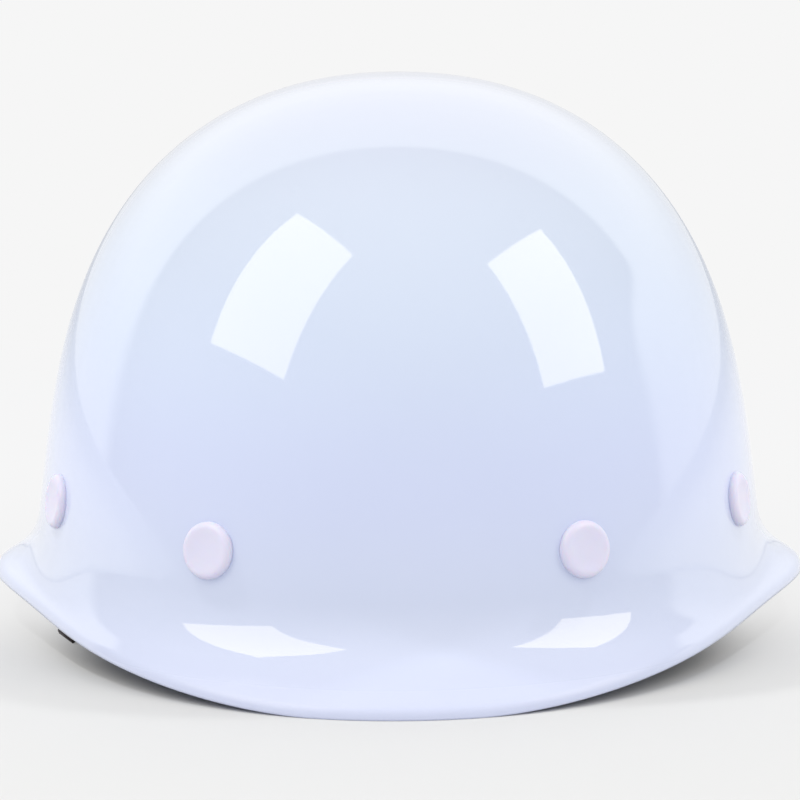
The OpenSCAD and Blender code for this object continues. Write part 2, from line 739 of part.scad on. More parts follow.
// Section of a pad: a flat back on the band and a crowned face towards the head
function pad_section(c, out, high, deep, low) = [for (v = [
    [0, 0.06], [0, 0.94], [0.3, 1], [0.7, 0.97], [0.92, 0.82],
    [1, 0.5], [0.92, 0.18], [0.7, 0.03], [0.3, 0]
  ]) [c.x - out.x * deep * v.x, c.y - out.y * deep * v.x, low + high * v.y]];
PAD_STEPS = 36;
module sweatband() color(PAD_C) {
  low = band_low + (band_top - band_low - pad_h) / 2;
  swept([for (k = [0:PAD_STEPS])
    let (
      a = mix(180 - pad_turn, 180 + pad_turn, k / PAD_STEPS),
      out = [sin(a), cos(a)],
      p = out * FAR + [0, brow_cy],
      c = p - out * egg_reach(p, -out, -soft_gap),
      thick = pad_t * (0.35 + 0.65 * min(1, min(k, PAD_STEPS - k) / 3))
    )
    pad_section(c, out, pad_h, thick, low)]);
}

// Nape ratchet: layers from the head outwards, all round the nape centre
inner_arm_r = nape_r + band_t + arm_gap;
outer_arm_r = inner_arm_r + arm_t + arm_gap;
cover_r = outer_arm_r + arm_t + arm_gap;
face_y = nape_cy + cover_r + cover_t;
pitch_r = tooth_m * pinion_teeth / 2;
pinion_r = pitch_r + 0.9 * tooth_m;
rack_root = pitch_r + 1.25 * tooth_m;
rack_tip = pitch_r - 0.7 * tooth_m;
slot_low = pinion_r + 0.5;
rail_z = arm_h / 2 + arm_gap;
skirt_h = 1.3;
FACET_STEP = 3;

// Part of a wall round the nape centre, between two angles from the middle line
module nape_wall(r, t, a, b, h) {
  n = max(2, ceil(abs(b - a) / FACET_STEP));
  linear_extrude(h)
    polygon(concat(arc([0, nape_cy], r, a, b, n), arc([0, nape_cy], r + t, b, a, n)));
}
// Puts a child on the ratchet axis, its Z pointing rearwards, at distance r from the nape centre
module on_ratchet(r) {
  translate([0, nape_cy + r, ratchet_z])
    rotate([-90, 0, 0])
      children();
}

module nape_housing() color(BLACK_C)
  difference() {
    union() {
      translate([0, 0, ratchet_z - rail_z - rail_h])
        nape_wall(nape_r, band_t, -housing_turn, housing_turn, 2 * (rail_z + rail_h));
      for (z = [ratchet_z - rail_z - rail_h, ratchet_z + rail_z])
        translate([0, 0, z])
          nape_wall(nape_r + band_t / 2, cover_r - nape_r - band_t / 2, -housing_turn, housing_turn, rail_h);
    }
    on_ratchet(nape_r - PAST)
      cylinder(d = shaft_d + 2 * run_fit, h = PAST + 2 * band_t);
  }

click_boss = 1;
click_t = 1.8;
click_hub_d = 12;
module nape_cover() color(BLACK_C)
  difference() {
    union() {
      translate([0, 0, ratchet_z - rail_z - rail_h - skirt_h])
        nape_wall(cover_r, cover_t, -housing_turn, housing_turn, 2 * (rail_z + rail_h + skirt_h));
      for (z = [ratchet_z - rail_z - rail_h - skirt_h, ratchet_z + rail_z + rail_h + 0.1])
        translate([0, 0, z])
          nape_wall(cover_r - 2, 3, -housing_turn, housing_turn, skirt_h - 0.1);
      on_ratchet(cover_r + cover_t / 2)
        cylinder(d = click_hub_d + 6, h = cover_t / 2 + click_boss);
      on_ratchet(cover_r + cover_t / 2)
        intersection() {
          cylinder(d = click_hub_d, h = cover_t / 2 + click_boss + click_t);
          translate([-click_hub_d, -click_hub_d * 0.42, 0])
            cube([2 * click_hub_d, click_hub_d * 0.84, cover_t + click_boss + click_t]);
        }
    }
    on_ratchet(cover_r - PAST)
      cylinder(d = shaft_d + 2 * run_fit, h = 2 * PAST + cover_t + click_boss + click_t);
  }

// Notches inside the knob, and the two click arms that reach for them
notch_r = knob_d / 2 - knob_wall;
notch_deep = 0.8;
click_tip_r = notch_r - notch_deep - 0.15;
module click_ring() color([0.86, 0.86, 0.84])
  on_ratchet(cover_r + cover_t + click_boss)
    linear_extrude(click_t)
      difference() {
        union() {
          circle(d = click_hub_d + 4.4);
          for (a = [0, 180])
            rotate(a) {
              polygon([
                [0, click_hub_d / 2 + 0.6],
                [8, click_hub_d / 2 + 1.4],
                [10.4, 4.2],
                [click_tip_r * cos(16), click_tip_r * sin(16)],
                [11, 5.6],
                [8, click_hub_d / 2 + 2.9],
                [0, click_hub_d / 2 + 2.2]
              ]);
            }
        }
        intersection() {
          circle(d = click_hub_d + 0.2);
          square([2 * click_hub_d, click_hub_d * 0.84 + 0.2], center = true);
        }
      }

knob_y = cover_r + cover_t + knob_gap;
knob_disc = 2.4;
screw_d = 3;
screw_head_d = 6;
screw_head_t = 1.6;
module size_knob() color(BLACK_C)
  on_ratchet(knob_y)
    difference() {
      union() {
        difference() {
          cylinder(d = knob_d, h = knob_t);
          translate([0, 0, -1]) cylinder(r = notch_r, h = knob_t - knob_disc + 1);
        }
        intersection() {
          cylinder(d = knob_d - 1, h = knob_t - knob_disc + 0.5);
          for (k = [0:notches - 1])
            rotate(360 * (k + 0.5) / notches)
              translate([notch_r - notch_deep, -0.5, 0])
                cube([notch_deep + 0.5, 1, knob_t - knob_disc + 0.5]);
        }
        translate([0, 0, click_boss + click_t + 0.3])
          cylinder(d = shaft_d + 3.4, h = knob_t - click_boss - click_t - 0.8);
      }
      for (k = [0:knob_grooves - 1])
        rotate(360 * k / knob_grooves)
          translate([knob_d / 2 + 1, 0, -1])
            cylinder(r = 1.6, h = knob_t + 2);
      translate([0, 0, -1]) cylinder(d = shaft_d + 2 * run_fit, h = knob_t - knob_disc + 1);
      cylinder(d = screw_d + 0.2, h = knob_t + 1);
      translate([0, 0, knob_t - screw_head_t]) cylinder(d = screw_head_d + 0.4, h = 5);
    }

// Involute pinion, with one tooth straight up
function inv(a) = tan(a) - a * PI / 180;
PRESSURE = 20;
base_r = pitch_r * cos(PRESSURE);
pinion_root = pitch_r - 1.2 * tooth_m;
tooth_half = 90 / pinion_teeth - backlash / 4 / pitch_r * 180 / PI;
function flank(r) = tooth_half + (inv(PRESSURE) - inv(acos(min(1, base_r / r)))) * 180 / PI;
function tooth_side() = concat(
  [[pinion_root, flank(base_r) + 2]],
  [for (k = [0:4]) let (r = mix(base_r, pinion_r, k / 4)) [r, flank(r)]]
);
module pinion() color(STEEL_C) {
  step = 360 / pinion_teeth;
  start = nape_r + band_t + 0.15;
  end = sqrt(cover_r * cover_r - pinion_r * pinion_r) - 0.15;
  difference() {
    union() {
      on_ratchet(start)
        linear_extrude(end - start)
          polygon([for (n = [0:pinion_teeth - 1]) each concat(
            [for (v = tooth_side()) v.x * [cos(-90 + n * step - v.y), sin(-90 + n * step - v.y)]],
            [for (v = reversed(tooth_side())) v.x * [cos(-90 + n * step + v.y), sin(-90 + n * step + v.y)]]
          )]);
      on_ratchet(nape_r)
        cylinder(d = shaft_d, h = knob_y + knob_t - knob_disc - 0.1 - nape_r);
    }
    on_ratchet(knob_y)
      cylinder(d = screw_d, h = knob_t);
  }
}
module knob_screw() color(STEEL_C)
  on_ratchet(knob_y)
    difference() {
      union() {
        translate([0, 0, 0.5]) cylinder(d = screw_d, h = knob_t - screw_head_t);
        translate([0, 0, knob_t - screw_head_t]) cylinder(d = screw_head_d, h = screw_head_t);
      }
      for (a = [0, 90])
        rotate(a)
          translate([-2, -0.4, knob_t - 1])
            cube([4, 0.8, 2]);
    }

// Toothed arm on side 1 (+X) or -1, with its rack over (1) or under (-1) the pinion
function rack_step(r) = 360 * tooth_m / (2 * r);
module nape_arm(side, r, over) {
  mean_r = r + arm_t / 2;
  slot_turn = arm_travel + 7;
  step = rack_step(mean_r);
  odd = over < 0 && pinion_teeth % 2 == 1 ? 0 : 0.5;
  teeth = floor(slot_turn / step - odd);
  half_pitch = PI * tooth_m / 4 - backlash / 4;
  slope = tan(PRESSURE);
  mirror([side < 0 ? 1 : 0, 0, 0])
    union() {
      difference() {
        translate([0, 0, ratchet_z - arm_h / 2])
          nape_wall(r, arm_t, -arm_past, arm_out, arm_h);
        translate([0, 0, ratchet_z - (over > 0 ? slot_low : rack_root)])
          nape_wall(r - 1, arm_t + 2, -slot_turn, slot_turn, slot_low + rack_root);
      }
      for (k = [-teeth - 1:teeth])
        translate([0, nape_cy, ratchet_z])
          rotate([0, 0, -(k + odd) * step])
            rotate([-90, 0, 0])
              translate([0, 0, r + 0.15])
                linear_extrude(arm_t - 0.3)
                  mirror([0, over > 0 ? 1 : 0])
                    polygon([
                      [-half_pitch - slope * (rack_root + 0.3 - pitch_r), rack_root + 0.3],
                      [half_pitch + slope * (rack_root + 0.3 - pitch_r), rack_root + 0.3],
                      [half_pitch - slope * (pitch_r - rack_tip), rack_tip],
                      [-half_pitch + slope * (pitch_r - rack_tip), rack_tip]
                    ]);
    }
}
module nape_arm_right() color(BAND_C) nape_arm(1, outer_arm_r, 1);
module nape_arm_left() color(BAND_C) nape_arm(-1, inner_arm_r, -1);

NAPE_PAD_STEPS = 12;
module nape_pad() color(PAD_C) {
  high = arm_h;
  swept([for (k = [0:NAPE_PAD_STEPS])
    let (
      a = mix(-housing_turn + 2, housing_turn - 2, k / NAPE_PAD_STEPS),
      out = [sin(a), cos(a)],
      thick = nape_pad_t * (0.4 + 0.6 * min(1, min(k, NAPE_PAD_STEPS - k) / 2))
    )
    pad_section([0, nape_cy] + (nape_r - soft_gap) * out, out, high, thick, ratchet_z - high / 2)]);
}

// Ear straps: two webbing legs in an upright plane, from the side hangers to the pivot
mid_y = 45;
mid_z = 22;
pad_low = hanger_down + 0.6;
pad_high = ledge_up - 1;
LINK_T = 0.4;
LINK_IN = 0.06;
module ear_plane() {
  translate([ear_x - ear_t, 0, 0])
    rotate([90, 0, 90])
      linear_extrude(ear_t)
        children();
}
module ear_end(i, y) {
  at_rivet(i)
    translate([0, 0, plate_in_z - ear_seat - ear_t])
      linear_extrude(ear_t)
        rounded_rect([-pad_high, -ear_w / 2], [pad_low, ear_w / 2], 0.5);
  hull() {
    at_rivet(i)
      translate([pad_low - 2 * LINK_T, -ear_w / 2 + LINK_IN, plate_in_z - ear_seat - ear_t + LINK_IN])
        cube([LINK_T, ear_w - 2 * LINK_IN, ear_t - 2 * LINK_IN]);
    translate([ear_x - ear_t + LINK_IN, y - ear_w / 2 + LINK_IN, mid_z])
      cube([ear_t - 2 * LINK_IN, ear_w - 2 * LINK_IN, LINK_T]);
  }
}
module ear_strap(front, rear, tail) {
  difference() {
    union() {
      ear_end(front, -mid_y);
      ear_end(rear, mid_y);
      ear_plane() {
        for (y = [-mid_y, mid_y]) {
          ribbon([[y, mid_z], [-pivot_y, pivot_z]], ear_w - 0.2);
          translate([y, mid_z]) circle(d = ear_w);
        }
        translate([-pivot_y, pivot_z]) circle(d = ear_w);
      }
      if (tail)
        translate([0, -pivot_y, 0])
          rotate([90, 0, 0])
            linear_extrude(ear_w, center = true)
              ribbon([
                [ear_x - ear_t / 2, 5.2],
                [ear_x + 0.8, 4.2],
                [ear_x + 2.8, 3.8],
                [ear_x + 5.4, 3.7],
                [ear_x + 8, 3.7]
              ], ear_t);
    }
    for (i = [front, rear])
      at_rivet(i)
        translate([0, 0, plate_in_z - 5])
          cylinder(d = rivet_d + 2 * rivet_fit, h = 10);
    pivot_bore();
  }
}
module pivot_bore() {
  translate([ear_x - 2 * PAST, -pivot_y, pivot_z])
    rotate([0, 90, 0])
      cylinder(d = pivot_d + 2 * run_fit, h = 4 * PAST);
}
module ear_strap_right() color(STRAP_C) ear_strap(3, 5, false);
module ear_strap_left() color(STRAP_C) mirror([1, 0, 0]) ear_strap(3, 5, true);

PIVOT_SEAT = 0.2;
eye_x = ear_x - ear_t - PIVOT_SEAT - eye_t / 2;
web_x = eye_x - 0.7;
module strap_pivot() {
  inner = eye_x - eye_t / 2 - PIVOT_SEAT;
  translate([0, -pivot_y, pivot_z])
    rotate([0, 90, 0]) {
      translate([0, 0, inner - 1]) cylinder(d = pivot_d, h = ear_x - inner + 2);
      translate([0, 0, ear_x + PIVOT_SEAT])
        rounded_disc(pivot_head_d / 2, pivot_head_t, 0.6);
      translate([0, 0, inner])
        mirror([0, 0, 1])
          rounded_disc(pivot_head_d / 2 - 1, pivot_head_t, 0.6);
    }
}
module strap_pivot_right() color(STEEL_C) strap_pivot();
module strap_pivot_left() color(STEEL_C) mirror([1, 0, 0]) strap_pivot();

// Plan of the stowed chin strap: a leg from each pivot, tangent to a bend behind the middle
leg_start = [web_x, leg_from - pivot_y];
bend_c = [0, strap_rear - bend_r];
leg_away = norm(bend_c - leg_start);
leg_l = sqrt(leg_away * leg_away - bend_r * bend_r);
leg_turn = atan2(bend_c.y - leg_start.y, bend_c.x - leg_start.x) - asin(bend_r / leg_away);
leg_dir = [cos(leg_turn), sin(leg_turn)];
leg_end = leg_start + leg_l * leg_dir;
bend_turn = atan2(leg_end.y - bend_c.y, leg_end.x - bend_c.x);
eye_in = 8.5;
BEND_STEPS = 30;
function flipped(p) = [-p.x, p.y];
function on_leg_pt(u) = leg_start + u * leg_dir;
module on_leg(u) {
  translate([on_leg_pt(u).x, on_leg_pt(u).y, pivot_z])
    rotate([0, 0, leg_turn])
      children();
}
module block(l, t, w) translate([0, -t / 2, -w / 2]) cube([l, t, w]);
module upright(w) translate([0, 0, pivot_z - w / 2]) linear_extrude(w) children();

module strap_eye() {
  block_w = chin_w + 3;
  difference() {
    union() {
      translate([eye_x - eye_t / 2, -pivot_y, pivot_z])
        rotate([0, 90, 0])
          cylinder(d = eye_d, h = eye_t);
      translate([eye_x - eye_t / 2, -pivot_y, pivot_z - eye_d / 2 + 1])
        cube([eye_t, 10, eye_d - 2]);
      translate([web_x - 1.7, -pivot_y + 7.5, pivot_z - block_w / 2])
        cube([eye_x + eye_t / 2 - web_x + 1.7, 7, block_w]);
    }
    translate([web_x - chin_t / 2 - 0.1, -pivot_y + eye_in - 0.1, pivot_z - chin_w / 2 - 0.1])
      cube([chin_t + 0.2, 20, chin_w + 0.2]);
    pivot_bore();
  }
}
module strap_eye_right() color(BLACK_C) strap_eye();
module strap_eye_left() color(BLACK_C) mirror([1, 0, 0]) strap_eye();

eye_pt = [web_x, -pivot_y + eye_in];
socket_at = plug_from + plug_l + 0.2;
web_end = socket_at + socket_l - 4;
module chin_strap_left() color(STRAP_C)
  mirror([1, 0, 0])
    upright(chin_w)
      ribbon([eye_pt, leg_start, on_leg_pt(plug_from + 5)], chin_t);
module chin_strap_right() color(STRAP_C)
  upright(chin_w)
    ribbon(concat(
      [eye_pt, leg_start],
      [for (k = [0:BEND_STEPS]) let (a = mix(bend_turn, 180 - bend_turn, k / BEND_STEPS))
        bend_c + bend_r * [cos(a), sin(a)]],
      [flipped(on_leg_pt(web_end))]
    ), chin_t);

guide_w = 3;
prong_in = 5.2;
prong_out = 7.6;
prong_l = 14;
module buckle_plug() color(BLACK_C)
  mirror([1, 0, 0])
    on_leg(plug_from)
      difference() {
        union() {
          block(plug_l, buckle_t - 1.5, buckle_w - 1);
          translate([plug_l - 0.5, 0, 0])
            block(11, buckle_t - 2 * buckle_wall - 2 * plug_fit, guide_w);
        }
        translate([-1, 0, 0]) block(6.2, chin_t + 0.2, chin_w + 0.2);
        for (z = [-1, 1])
          translate([plug_l - 3.5, 0, z * (buckle_w / 2 - 5)])
            block(2.2, buckle_t, 5);
      }
module buckle_prongs() color(BLACK_C)
  mirror([1, 0, 0])
    on_leg(plug_from + plug_l)
      for (s = [0, 1])
        mirror([0, 0, s])
          rotate([90, 0, 0])
            linear_extrude(buckle_t - 2 * buckle_wall - 2 * plug_fit, center = true)
              polygon([
                [0, prong_in],
                [prong_l, prong_in + 0.6],
                [prong_l, prong_out - 0.4],
                [prong_l - 3, buckle_w / 2 - 0.5],
                [prong_l - 4.2, buckle_w / 2 - 0.5],
                [prong_l - 4.2, prong_out],
                [0, prong_out]
              ]);
module buckle_socket() color(BLACK_C)
  mirror([1, 0, 0])
    on_leg(socket_at) {
      room_w = buckle_w - 2 * 1.8;
      room_l = socket_l - 6;
      difference() {
        block(socket_l, buckle_t, buckle_w);
        translate([-1, 0, 0])
          block(room_l + 1, buckle_t - 2 * buckle_wall, room_w);
        translate([prong_l - 5, 0, 0])
          block(5.4, buckle_t - 2 * buckle_wall, buckle_w + 2);
        translate([room_l - 1, 0, 0])
          block(10, chin_t + 2 * soft_gap, chin_w + 2 * soft_gap);
      }
    }

// Slider with three bars, and the keeper loop
slider_l = 13;
slider_w = chin_w + 5;
module strap_slider() color(BLACK_C)
  on_leg(slider_at)
    difference() {
      block(slider_l, 5, slider_w);
      translate([-1, 0, 0])
        block(slider_l + 2, chin_t + 2 * soft_gap, chin_w + 2 * soft_gap);
      for (u = [2, slider_l / 2 + 1])
        translate([u, 0, 0])
          block(slider_l / 2 - 3, 6, chin_w - 1);
    }
keeper_l = 7;
keeper_t = 4;
module strap_keeper() color(BLACK_C)
  on_leg(keeper_at)
    difference() {
      block(keeper_l, keeper_t, chin_w + 3);
      translate([-1, 0, 0])
        block(keeper_l + 2, chin_t + 2 * soft_gap, chin_w + 2 * 0.3);
    }

shell();
shell_rivets();
rivet_washers();
for (i = [0:7])
  hanger(i);
impact_liner();
for (n = [0:3])
  crown_strap(n);
crown_patch();
headband();
sweatband();
nape_housing();
nape_cover();
click_ring();
size_knob();
pinion();
knob_screw();
nape_arm_left();
nape_arm_right();
nape_pad();
ear_strap_left();
ear_strap_right();
strap_pivot_left();
strap_pivot_right();
strap_eye_left();
strap_eye_right();
chin_strap_left();
chin_strap_right();
buckle_plug();
buckle_prongs();
buckle_socket();
strap_slider();
strap_keeper();
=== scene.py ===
import math

import bmesh
import bpy
import numpy as np
from mathutils import Matrix, Vector


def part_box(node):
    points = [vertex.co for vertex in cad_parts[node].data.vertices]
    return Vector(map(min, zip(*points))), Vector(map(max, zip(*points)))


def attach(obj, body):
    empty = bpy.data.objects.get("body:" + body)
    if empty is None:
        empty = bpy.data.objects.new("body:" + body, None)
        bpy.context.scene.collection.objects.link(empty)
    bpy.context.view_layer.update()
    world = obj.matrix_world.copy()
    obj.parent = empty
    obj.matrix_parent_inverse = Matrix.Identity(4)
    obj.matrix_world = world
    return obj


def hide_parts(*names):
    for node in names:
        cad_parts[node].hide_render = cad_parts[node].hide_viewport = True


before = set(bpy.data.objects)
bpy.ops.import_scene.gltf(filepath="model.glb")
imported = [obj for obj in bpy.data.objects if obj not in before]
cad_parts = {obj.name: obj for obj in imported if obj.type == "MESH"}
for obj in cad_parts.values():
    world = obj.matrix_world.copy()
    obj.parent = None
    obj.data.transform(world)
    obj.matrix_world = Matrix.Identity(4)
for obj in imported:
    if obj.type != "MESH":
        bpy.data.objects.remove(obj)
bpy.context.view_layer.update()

MM = 0.001

# Camera, in metres and degrees
CAMERA_AT, CAMERA_TARGET = (0.00529, -0.87825, 0.18988), (0.00054, 0.0, 0.05799)
CAMERA_ROLL = 0.25
CAMERA_LENS, CAMERA_SENSOR = 142.94, 36.0

scene = bpy.context.scene
scene.view_settings.view_transform = "Standard"


def look_at(obj, target, roll):
    """Points obj's -Z at the target, with a roll in degrees about that line."""
    way = (Vector(target) - obj.location).normalized()
    side = way.cross(Vector((0, 0, 1))).normalized()
    up = side.cross(way)
    turn = Matrix.Rotation(math.radians(roll), 3, way)
    m = Matrix((turn @ side, turn @ up, turn @ -way)).transposed()
    obj.matrix_world = Matrix.Translation(obj.location) @ m.to_4x4()


def make_camera():
    data = bpy.data.cameras.new("camera")
    data.lens = CAMERA_LENS
    data.sensor_width = CAMERA_SENSOR
    data.clip_start = 0.01
    data.clip_end = 100.0
    camera = bpy.data.objects.new("camera", data)
    scene.collection.objects.link(camera)
    camera.location = CAMERA_AT
    look_at(camera, CAMERA_TARGET, CAMERA_ROLL)
    scene.camera = camera


make_camera()


# Shader nodes
class Tree:
    """Short calls for building one node tree."""

    def __init__(self, tree):
        self.tree = tree

    def add(self, kind, **values):
        node = self.tree.nodes.new("ShaderNode" + kind)
        for key, value in values.items():
            if key.startswith("in_"):
                name = key[3:]
                socket = node.inputs[int(name)] if name.isdigit() else node.inputs[name.replace("_", " ")]
                self.set(socket, value)
            else:
                setattr(node, key, value)
        return node

    def feed(self, node, **values):
        """Sets or links a node's inputs by name, with _ for each space."""
        for name, value in values.items():
            self.set(node.inputs[name.replace("_", " ")], value)

    def set(self, socket, value):
        if hasattr(value, "is_output"):
            self.tree.links.new(value, socket)
        else:
            socket.default_value = value

    def math(self, op, a, b=0.0, c=0.0, clamp=False):
        n = self.add("Math", operation=op, use_clamp=clamp)
        for s, v in zip(n.inputs, (a, b, c)):
            self.set(s, v)
        return n.outputs[0]

    def ease(self, value, start, stop, low=0.0, high=1.0):
        """Smooth step that goes from low to high as value goes from start to stop."""
        n = self.add("MapRange", interpolation_type="SMOOTHSTEP")
        for s, v in zip(n.inputs, (value, start, stop, low, high)):
            self.set(s, v)
        return n.outputs[0]

    def ramp(self, fac, stops, mode="LINEAR"):
        n = self.add("ValToRGB")
        n.color_ramp.interpolation = mode
        while len(n.color_ramp.elements) < len(stops):
            n.color_ramp.elements.new(0.5)
        for e, (pos, col) in zip(n.color_ramp.elements, stops):
            e.position = pos
            e.color = (*col, 1)
        self.set(n.inputs[0], fac)
        return n.outputs[0]

    def mix(self, fac, a, b):
        n = self.add("Mix", data_type="RGBA")
        self.set(n.inputs[0], fac)
        self.set(n.inputs[6], a if hasattr(a, "is_output") else (*a, 1))
        self.set(n.inputs[7], b if hasattr(b, "is_output") else (*b, 1))
        return n.outputs[2]

    def noise(self, vec, scale, detail=3.0, rough=0.5, dist=0.0):
        n = self.add("TexNoise")
        self.feed(n, Vector=vec, Scale=scale, Detail=detail, Roughness=rough, Distortion=dist)
        return n.outputs["Fac"]

    def cells(self, vec, scale, feature="F1"):
        n = self.add("TexVoronoi", feature=feature)
        self.feed(n, Vector=vec, Scale=scale)
        return n.outputs

    def bump(self, height, strength, distance, normal=None):
        n = self.add("Bump")
        self.feed(n, Strength=strength, Distance=distance, Height=height)
        if normal is not None:
            self.feed(n, Normal=normal)
        return n.outputs[0]


def srgb(r, g, b):
    """Colour given in 0..255 display values, as linear values."""
    out = []
    for v in (r, g, b):
        v = v / 255
        out.append(v / 12.92 if v <= 0.04045 else ((v + 0.055) / 1.055) ** 2.4)
    return tuple(out)


def new_material(name):
    """A material with its tree, its Principled shader and its object coordinates in metres."""
    m = bpy.data.materials.new(name)
    m.use_nodes = True
    m.node_tree.nodes.clear()
    t = Tree(m.node_tree)
    out = t.add("OutputMaterial")
    bsdf = t.add("BsdfPrincipled")
    t.tree.links.new(bsdf.outputs[0], out.inputs[0])
    coords = t.add("TexCoord").outputs["Object"]
    return m, t, bsdf, coords


# World and lamps. The room is dim in front and bright behind. On the right it is bright further forward.
WORLD_BACK = srgb(246, 246, 246)
REAR_EDGE = 0.385
SIDE_DIP, DIP_FROM, DIP_TO = 0.24, 0.8, 0.97
EDGE_SOFT, EDGE_CRISP = 7.0, 22.0
CRISP_FROM, CRISP_TO = 0.15, 0.55
REAR_LOW_FROM, REAR_LOW_TO = 0.1, 0.42
LAMP_COLOUR = (1.0, 0.90, 0.66)
HIGH_LAMP_D, HIGH_LAMP_AWAY, HIGH_LAMP_UP = 0.12, 1.6, 63.0


def make_world():
    """What gloss mirrors, a paler version of it for soft light, and an even white for the camera."""
    world = bpy.data.worlds.new("world")
    scene.world = world
    world.use_nodes = True
    world.node_tree.nodes.clear()
    w = Tree(world.node_tree)
    x, y, z = w.add("SeparateXYZ", in_0=w.add("TexCoord").outputs["Generated"]).outputs
    edge = w.math("SUBTRACT", REAR_EDGE, w.ease(x, DIP_FROM, DIP_TO, 0.0, SIDE_DIP))
    crisp = w.ease(z, CRISP_FROM, CRISP_TO, EDGE_SOFT, EDGE_CRISP)
    rear = w.math("MULTIPLY_ADD", w.math("SUBTRACT", y, edge), crisp, 0.5, clamp=True)
    rear = w.ease(rear, 0.0, 1.0)
    room = w.ramp(w.math("MULTIPLY_ADD", z, 0.5, 0.5, clamp=True), [
        (0.0, (0.26, 0.27, 0.29)),
        (0.5, (0.26, 0.27, 0.30)),
        (1.0, (0.50, 0.51, 0.54)),
    ])
    bright = w.mix(w.ease(z, REAR_LOW_FROM, REAR_LOW_TO), (0.84, 0.85, 0.87), (1.1, 1.1, 1.08))
    gloss_sky = w.mix(rear, room, bright)
    soft_sky = w.mix(rear, (0.765, 0.805, 0.905), (0.95, 0.95, 0.95))
    path = w.add("LightPath")
    sky = w.mix(path.outputs["Is Glossy Ray"], soft_sky, gloss_sky)
    sky = w.mix(path.outputs["Is Camera Ray"], sky, WORLD_BACK)
    sky = w.mix(path.outputs["Is Transmission Ray"], sky, WORLD_BACK)
    background = w.add("Background", in_Color=sky, in_Strength=1.0)
    w.tree.links.new(background.outputs[0], w.add("OutputWorld").inputs[0])


def softbox(name, centre, turn, size, power):
    """A rectangle that lights along its own -Z. The gloss shows it as a white patch."""
    data = bpy.data.lights.new(name, "AREA")
    data.shape = "RECTANGLE"
    data.size, data.size_y = size
    data.energy = power
    data.color = LAMP_COLOUR
    o = bpy.data.objects.new(name, data)
    scene.collection.objects.link(o)
    o.location = centre
    o.rotation_euler = [math.radians(a) for a in turn]
    o.visible_camera = False


def high_lamp(name, side, bearing, power):
    """A small lamp high at one side, whose shadow falls forward on the other side."""
    bearing, up = math.radians(bearing), math.radians(HIGH_LAMP_UP)
    way = Vector((side * math.sin(bearing) * math.cos(up), math.cos(bearing) * math.cos(up), math.sin(up)))
    data = bpy.data.lights.new(name, "AREA")
    data.shape = "DISK"
    data.size = HIGH_LAMP_D
    data.energy = power
    o = bpy.data.objects.new(name, data)
    scene.collection.objects.link(o)
    turn = way.to_track_quat("Z", "Y").to_matrix().to_4x4()
    o.matrix_world = Matrix.Translation(way * HIGH_LAMP_AWAY) @ turn
    o.visible_camera = False
    o.visible_glossy = False


make_world()
softbox("softbox_left", (-0.753, -0.507, 1.014), (-57.148, -0.344, 119.257), (0.679, 0.982), 4.7)
softbox("softbox_right", (0.984, -0.404, 0.840), (-52.594, -7.846, -109.648), (0.591, 0.837), 3.7)
high_lamp("lamp_high_right", 1, 62.0, 3.5)
high_lamp("lamp_high_left", -1, 76.0, 4.2)


# Floor, in metres
FLOOR_HALF, FLOOR_BELOW = 12.0, 0.00005
BACK_FROM, BACK_TO = 0.05, 0.55
# the next two lines place painted light on the floor beside the ear points, which lightens the helmet's
# shadow there
PAINTED_LIGHT_X_FROM, PAINTED_LIGHT_X_TO = 0.068, 0.098
PAINTED_LIGHT_Y_FROM, PAINTED_LIGHT_Y_TO, PAINTED_LIGHT_SHARE = -0.10, 0.0, 0.85


def make_floor():
    r = FLOOR_HALF
    mesh = bpy.data.meshes.new("floor")
    mesh.from_pydata([(-r, -r, 0), (r, -r, 0), (r, r, 0), (-r, r, 0)], [], [(0, 1, 2, 3)])
    o = bpy.data.objects.new("floor", mesh)
    scene.collection.objects.link(o)
    o.location.z = -FLOOR_BELOW
    m, t, bsdf, coords = new_material("floor")
    x, y = t.add("SeparateXYZ", in_0=coords).outputs[:2]
    # painted light: the floor's colour grows lighter towards the back, as under a lit sweep
    colour = t.mix(t.ease(y, -0.2, 0.45), srgb(212, 212, 211), srgb(221, 221, 221))
    grain = t.noise(coords, 300.0, 2.0)
    colour = t.mix(t.math("MULTIPLY", grain, 0.03), colour, (0.7, 0.7, 0.7))
    t.feed(bsdf, Base_Color=colour, Roughness=0.75, Specular_IOR_Level=0.2)
    # behind the helmet the camera sees the backdrop's even white; beside the ear points the same emission is
    # painted light, which lightens the helmet's shadow on the floor there
    glow = t.add("Emission", in_Color=(*WORLD_BACK, 1))
    behind = t.ease(y, BACK_FROM, BACK_TO)
    painted_light_aside = t.ease(t.math("ABSOLUTE", x), PAINTED_LIGHT_X_FROM, PAINTED_LIGHT_X_TO)
    beside = t.math("MULTIPLY", painted_light_aside, t.ease(y, PAINTED_LIGHT_Y_FROM, PAINTED_LIGHT_Y_TO, 0.0, PAINTED_LIGHT_SHARE))
    white = t.math("MAXIMUM", behind, beside)
    blend = t.add("MixShader", in_0=t.math("MULTIPLY", white, t.add("LightPath").outputs["Is Camera Ray"]))
    t.tree.links.new(bsdf.outputs[0], blend.inputs[1])
    t.tree.links.new(glow.outputs[0], blend.inputs[2])
    output = next(n for n in t.tree.nodes if n.type == "OUTPUT_MATERIAL")
    t.tree.links.new(blend.outputs[0], output.inputs[0])
    mesh.materials.append(m)


make_floor()


